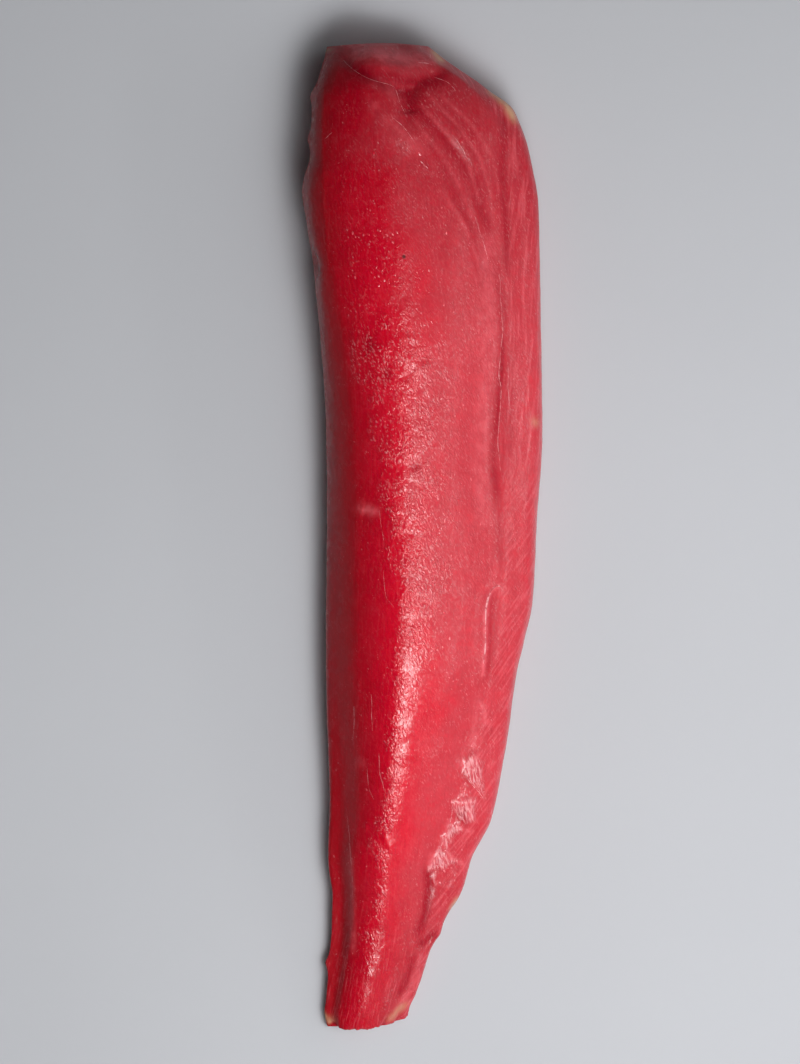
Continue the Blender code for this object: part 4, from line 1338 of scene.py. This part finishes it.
def bead(surface, across, distance, radius, longer, turn):
    """Points and faces of one low dome that stands on the flesh, longer one way."""
    point, up = surface.on_top(across, distance)
    right = np.cross((math.sin(turn), math.cos(turn), 0.0), up)
    right /= np.linalg.norm(right)
    ahead = np.cross(up, right)
    points = []
    for share, rise in BEAD_LOOPS:
        for side in range(BEAD_SIDES):
            angle = 2 * math.pi * side / BEAD_SIDES
            points.append(point + radius * share * (math.cos(angle) * right
                                                    + longer * math.sin(angle) * ahead)
                          + up * radius * BEAD_RISE * rise)
    points.append(point + up * radius * BEAD_RISE)
    points.append(point - up * radius * BEAD_SINK)
    top, foot = len(points) - 2, len(points) - 1
    faces = []
    for side in range(BEAD_SIDES):
        following = (side + 1) % BEAD_SIDES
        faces.append((foot, following, side))
        for loop in (0, BEAD_SIDES):
            faces.append((loop + side, loop + following,
                          loop + BEAD_SIDES + following, loop + BEAD_SIDES + side))
        faces.append((2 * BEAD_SIDES + side, 2 * BEAD_SIDES + following, top))
    return points, faces


def joined(parts):
    """Points and faces of many small closed shapes as one mesh."""
    points, faces = [], []
    for part_points, part_faces in parts:
        count = len(points)
        points.extend(part_points)
        faces.extend(tuple(count + index for index in face) for face in part_faces)
    return np.array(points), faces


class LoinForm(bpy.types.PropertyGroup):
    """Sizes of the loin's surface"""
    ring_gap: FloatProperty(
        name="Ring Gap", description="Distance between two rings of the mesh",
        default=0.00118, min=0.0005, unit="LENGTH")
    fine_relief: FloatProperty(
        name="Fine Relief", description="Strength of the fine creases, ridges and pits",
        default=1.0, min=0.0, subtype="FACTOR")
    waviness: FloatProperty(
        name="Waviness", description="Height of the broad swellings of the skin",
        default=0.0006, min=0.0, unit="LENGTH")
    lumpiness: FloatProperty(
        name="Lumpiness", description="Height of the small lumps of the skin",
        default=0.00012, min=0.0, unit="LENGTH")
    lumpy_places: FloatProperty(
        name="Lumpy Places", description="How much higher the lumps are in the lumpy places",
        default=3.4, min=0.0, subtype="FACTOR")


class FleshLook(bpy.types.PropertyGroup):
    """Colours and finish of the flesh"""
    crimson: FloatVectorProperty(
        name="Crimson", description="Deep red of the left half of the top",
        subtype="COLOR", default=(0.60, 0.0008, 0.018))
    # Partly the flesh's own lighter red, partly a painted sheen of the lit right slope
    coral: FloatVectorProperty(
        name="Coral", description="Lighter red of the right half of the top",
        subtype="COLOR", default=(0.515, 0.020, 0.036))
    # Painted shade towards the head end
    head_painted_shade: FloatProperty(
        name="Head Shade", description="Brightness of the flesh at the head end",
        default=0.66, min=0.0, max=1.0, subtype="FACTOR")
    # Painted shade towards the tail end
    tail_painted_shade: FloatProperty(
        name="Tail Shade", description="Brightness of the flesh at the tail end",
        default=0.80, min=0.0, max=1.0, subtype="FACTOR")
    # Painted shade in the creases and pits; it also darkens the fibre streaks
    crease: FloatVectorProperty(
        name="Crease", description="Dark red inside the creases",
        subtype="COLOR", default=(0.26, 0.0006, 0.010))
    side: FloatVectorProperty(
        name="Side", description="Dull red of the steep side",
        subtype="COLOR", default=(0.34, 0.006, 0.012))
    # Also the colour of the painted light on the lobe of the head end, the hooked lip and the
    # flakes near the tail
    pale_flesh: FloatVectorProperty(
        name="Pale Flesh", description="Pink where a film lies on the flesh",
        subtype="COLOR", default=(0.76, 0.12, 0.145))
    # Also the colour of the painted glints on the wet skin
    film: FloatVectorProperty(
        name="Film", description="Whitish pink of the thin films",
        subtype="COLOR", default=(0.80, 0.32, 0.34))
    rim: FloatVectorProperty(
        name="Rim", description="Greyish pink along the thin edge",
        subtype="COLOR", default=(0.60, 0.20, 0.19))
    fat: FloatVectorProperty(
        name="Fat", description="Yellowish fat at the edges",
        subtype="COLOR", default=(0.52, 0.30, 0.17))
    grain_height: FloatProperty(
        name="Grain Height", description="Height of the wet grain, in millimetres",
        default=0.95, min=0.0)
    sheen_height: FloatProperty(
        name="Sheen Height", description="Height of the creases of the facets, in millimetres",
        default=0.9, min=0.0)
    # Painted glints on the ridges of the crinkled band
    ridge_glint_paleness: FloatProperty(
        name="Ridge Paleness", description="How pale the ridges of the crinkled film are",
        default=0.33, min=0.0, max=1.0, subtype="FACTOR")
    # Painted glints: fine slanted pale dashes
    dash_glint_paleness: FloatProperty(
        name="Dash Paleness", description="How pale the fine slanted dashes are",
        default=0.16, min=0.0, max=0.6, subtype="FACTOR")
    dot_height: FloatProperty(
        name="Dot Height", description="Height of the fine wet dots, in millimetres",
        default=0.08, min=0.0)
    dot_gap: FloatProperty(
        name="Dot Gap", description="Distance between the fine wet dots, in millimetres",
        default=1.35, min=0.3)
    # Painted glints on the fine wet dots
    dot_glint_paleness: FloatProperty(
        name="Dot Paleness", description="How pale the fine wet dots are",
        default=0.3, min=0.0, max=1.0, subtype="FACTOR")
    speckle_height: FloatProperty(
        name="Speckle Height", description="Height of the uneven flesh, in millimetres",
        default=0.10, min=0.0)
    blotch_height: FloatProperty(
        name="Blotch Height", description="Height of the wider unevenness, in millimetres",
        default=0.3, min=0.0)
    fine_height: FloatProperty(
        name="Fine Height", description="Height of the finest grain, in millimetres",
        default=0.008, min=0.0)
    fibre_height: FloatProperty(
        name="Fibre Height", description="Height of the muscle fibres, in millimetres",
        default=0.04, min=0.0)
    stripe_height: FloatProperty(
        name="Stripe Height", description="Height of the flap's slanted stripes, in millimetres",
        default=0.08, min=0.0)
    subsurface: FloatProperty(
        name="Subsurface", description="Share of the light that spreads in the flesh",
        default=0.25, min=0.0, max=1.0, subtype="FACTOR")
    wetness: FloatProperty(
        name="Wetness", description="Strength of the wet film over all",
        default=1.0, min=0.0, max=1.0, subtype="FACTOR")
    wet_roughness: FloatProperty(
        name="Wet Roughness", description="Roughness of the wet film",
        default=0.13, min=0.0, max=1.0, subtype="FACTOR")
    speck_colour: FloatVectorProperty(
        name="Speck Colour", description="Colour of the small dark speck",
        subtype="COLOR", default=(0.05, 0.012, 0.012))


class StudioSetup(bpy.types.PropertyGroup):
    """Floor, lights and camera"""
    floor_colour: FloatVectorProperty(
        name="Floor Colour", description="Colour of the plain floor",
        subtype="COLOR", default=(0.50, 0.51, 0.54))
    key_power: FloatProperty(
        name="Key Power", description="Power of the wide soft lamp above the right side",
        default=15.5, min=0.0, unit="POWER")
    side_light: FloatProperty(
        name="Side Light", description="Brightness of the surroundings on the right",
        default=0.74, min=0.0)
    dim_light: FloatProperty(
        name="Dim Light", description="Brightness of the surroundings on the left",
        default=0.05, min=0.0)
    foot_power: FloatProperty(
        name="Foot Power", description="Power of the soft lamp beyond the tail end",
        default=1.5, min=0.0, unit="POWER")
    glint_power: FloatProperty(
        name="Glint Power", description="Power of the narrow lamp low on the right",
        default=1.1, min=0.0, unit="POWER")
    camera_height: FloatProperty(
        name="Camera Height", description="Height of the camera above the loin",
        default=4.0, min=1.0, unit="LENGTH")


# The photograph's frame and where the loin lies in it, in its own pixels
PHOTO_WIDTH, PHOTO_HEIGHT = 800, 1064
PIXEL_SIZE = 0.5668 * MM
BOX_MIDDLE_PIXEL = (422.4, 538.0)
# Height at which a pixel has that size: about that of the loin's widest outline
EDGE_LEVEL = 0.018
SENSOR = 36.0
CAMERA_CLIP = 50.0

# The wide lamp is several nested ones, so that its reflection has a soft edge. Lamps are
# (size, place)
KEY_SHARES = (1.35, 1.12, 0.90, 0.66, 0.44)
KEY_SIZE = (0.80, 0.62)
KEY_PLACE = (0.32, -0.40, 1.17)
KEY_STEP_UP = 0.002
FOOT_LAMP = ((1.6, 0.9), (0.35, -2.0, 1.5))
GLINT_LAMP = ((0.80, 0.07), (1.06, -0.05, 0.60))
LAMP_TARGET = (0.0, 0.0, 0.03)

# The surroundings grow brighter between these shares of the way to the right
BRIGHTER_FROM, BRIGHTER_TO = 0.0, 0.95

# Half the floor's width, and how far it lies under the loin
FLOOR_HALF = 3.0
FLOOR_DROP = 0.0002


class TUNA_OT_make_loin(bpy.types.Operator):
    """Build the loin's flesh and hide the plain solid that it stands for"""
    bl_idname = "tuna.make_loin"
    bl_label = "Make Loin"

    def execute(self, context):
        scene = context.scene
        surface = LoinSurface(scene.tuna_form)
        points, faces, spread = loin_mesh_data(surface)
        piece = make_piece("loin_flesh", surface.placed(points), faces,
                           flesh_material(scene.tuna_look))
        for name, grid in surface.masks().items():
            add_layer(piece.data, name, spread(grid))
        add_layer(piece.data, "flow", spread(surface.flow), "FLOAT_VECTOR", "vector")
        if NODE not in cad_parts:
            raise RuntimeError("the packed model has no loin")
        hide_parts(NODE)
        return {"FINISHED"}


class TUNA_OT_make_films(bpy.types.Operator):
    """Lay the thin pale films on the flesh"""
    bl_idname = "tuna.make_films"
    bl_label = "Make Films"

    def execute(self, context):
        scene = context.scene
        surface = LoinSurface(scene.tuna_form)
        points, faces = joined(ribbon(surface, path, width, seed)
                               for seed, (path, width) in enumerate(FILM_THREADS))
        make_piece("film_threads", surface.placed(points), faces,
                   film_material(scene.tuna_look))
        return {"FINISHED"}


class TUNA_OT_make_beads(bpy.types.Operator):
    """Set the small wet beads on the flesh"""
    bl_idname = "tuna.make_beads"
    bl_label = "Make Beads"

    def execute(self, context):
        scene = context.scene
        surface = LoinSurface(scene.tuna_form)
        points, faces = joined(bead(surface, *place) for place in bead_places())
        make_piece("wet_beads", surface.placed(points), faces, bead_material(scene.tuna_look))
        return {"FINISHED"}


class TUNA_OT_make_studio(bpy.types.Operator):
    """Build the plain floor, the soft lights and the camera above the loin"""
    bl_idname = "tuna.make_studio"
    bl_label = "Make Studio"

    def execute(self, context):
        setup = context.scene.tuna_studio
        make_floor(setup)
        make_lights(setup)
        make_world(setup)
        make_camera(setup)
        return {"FINISHED"}


def make_floor(setup):
    """Large plain floor under the loin."""
    mesh = bpy.data.meshes.new("floor")
    corners = [(x * FLOOR_HALF, y * FLOOR_HALF, 0)
               for x, y in ((-1, -1), (1, -1), (1, 1), (-1, 1))]
    mesh.from_pydata(corners, [], [(0, 1, 2, 3)])
    mesh.materials.append(floor_material(setup))
    floor = linked("floor", mesh)
    floor.location.z = CAD_LOW.z - FLOOR_DROP


def area_lamp(name, power, size, place):
    """A soft rectangular lamp that faces the loin."""
    lamp = bpy.data.lights.new(name, "AREA")
    lamp.shape = "RECTANGLE"
    lamp.size, lamp.size_y = size
    lamp.energy = power
    holder = linked(name, lamp)
    holder.location = place
    aim = Vector(LAMP_TARGET) - Vector(place)
    holder.rotation_euler = aim.to_track_quat("-Z", "Y").to_euler()


def make_lights(setup):
    """A wide lamp above the right side, and weak ones beyond the tail end and on the right."""
    x, y, z = KEY_PLACE
    for number, share in enumerate(KEY_SHARES):
        size = [side * share for side in KEY_SIZE]
        area_lamp(f"key_lamp_{number + 1}", setup.key_power / len(KEY_SHARES), size,
                  (x, y, z + KEY_STEP_UP * number))
    area_lamp("foot_lamp", setup.foot_power, *FOOT_LAMP)
    area_lamp("glint_lamp", setup.glint_power, *GLINT_LAMP)


def make_world(setup):
    """Soft surroundings that grow brighter from the left to the right."""
    world = bpy.data.worlds.new("studio")
    world.use_nodes = True
    tree = world.node_tree
    background = tree.nodes["Background"]
    place = tree.nodes.new("ShaderNodeTexCoord")
    split = tree.nodes.new("ShaderNodeSeparateXYZ")
    fade = tree.nodes.new("ShaderNodeMapRange")
    fade.interpolation_type = "SMOOTHSTEP"
    for name, value in (("From Min", BRIGHTER_FROM), ("From Max", BRIGHTER_TO),
                        ("To Min", setup.dim_light), ("To Max", setup.side_light)):
        fade.inputs[name].default_value = value
    tree.links.new(place.outputs["Generated"], split.inputs[0])
    tree.links.new(split.outputs["X"], fade.inputs[0])
    tree.links.new(fade.outputs[0], background.inputs["Color"])
    background.inputs["Strength"].default_value = 1.0
    bpy.context.scene.world = world


def make_camera(setup):
    """Camera straight above, framed as the photograph is."""
    across = (PHOTO_WIDTH / 2 - BOX_MIDDLE_PIXEL[0]) * PIXEL_SIZE
    lengthwise = (BOX_MIDDLE_PIXEL[1] - PHOTO_HEIGHT / 2) * PIXEL_SIZE
    data = bpy.data.cameras.new("overhead_camera")
    data.sensor_width = SENSOR
    data.lens = SENSOR * setup.camera_height / (PHOTO_HEIGHT * PIXEL_SIZE)
    data.clip_end = CAMERA_CLIP
    camera = linked("overhead_camera", data)
    camera.location = (across, lengthwise, EDGE_LEVEL + setup.camera_height)
    bpy.context.scene.camera = camera


class TUNA_PT_parts(bpy.types.Panel):
    """Lists what the add-on builds and the values that it uses"""
    bl_label = "Tuna Loin"
    bl_space_type = "VIEW_3D"
    bl_region_type = "UI"
    bl_category = "Tuna Loin"

    def draw(self, context):
        layout = self.layout
        for operator in ("tuna.make_loin", "tuna.make_films", "tuna.make_beads",
                         "tuna.make_studio"):
            layout.operator(operator)
        for group in (context.scene.tuna_form, context.scene.tuna_look,
                      context.scene.tuna_studio):
            box = layout.box()
            for name in group.__annotations__:
                box.prop(group, name)


CLASSES = (LoinForm, FleshLook, StudioSetup, TUNA_OT_make_loin, TUNA_OT_make_films,
           TUNA_OT_make_beads, TUNA_OT_make_studio, TUNA_PT_parts)


def register():
    for cls in CLASSES:
        bpy.utils.register_class(cls)
    bpy.types.Scene.tuna_form = PointerProperty(type=LoinForm)
    bpy.types.Scene.tuna_look = PointerProperty(type=FleshLook)
    bpy.types.Scene.tuna_studio = PointerProperty(type=StudioSetup)


def unregister():
    del bpy.types.Scene.tuna_studio
    del bpy.types.Scene.tuna_look
    del bpy.types.Scene.tuna_form
    for cls in reversed(CLASSES):
        bpy.utils.unregister_class(cls)


def main():
    register()
    bpy.context.scene.view_settings.view_transform = "Standard"
    bpy.ops.tuna.make_loin()
    bpy.ops.tuna.make_films()
    bpy.ops.tuna.make_beads()
    bpy.ops.tuna.make_studio()


if __name__ == "__main__":
    main()
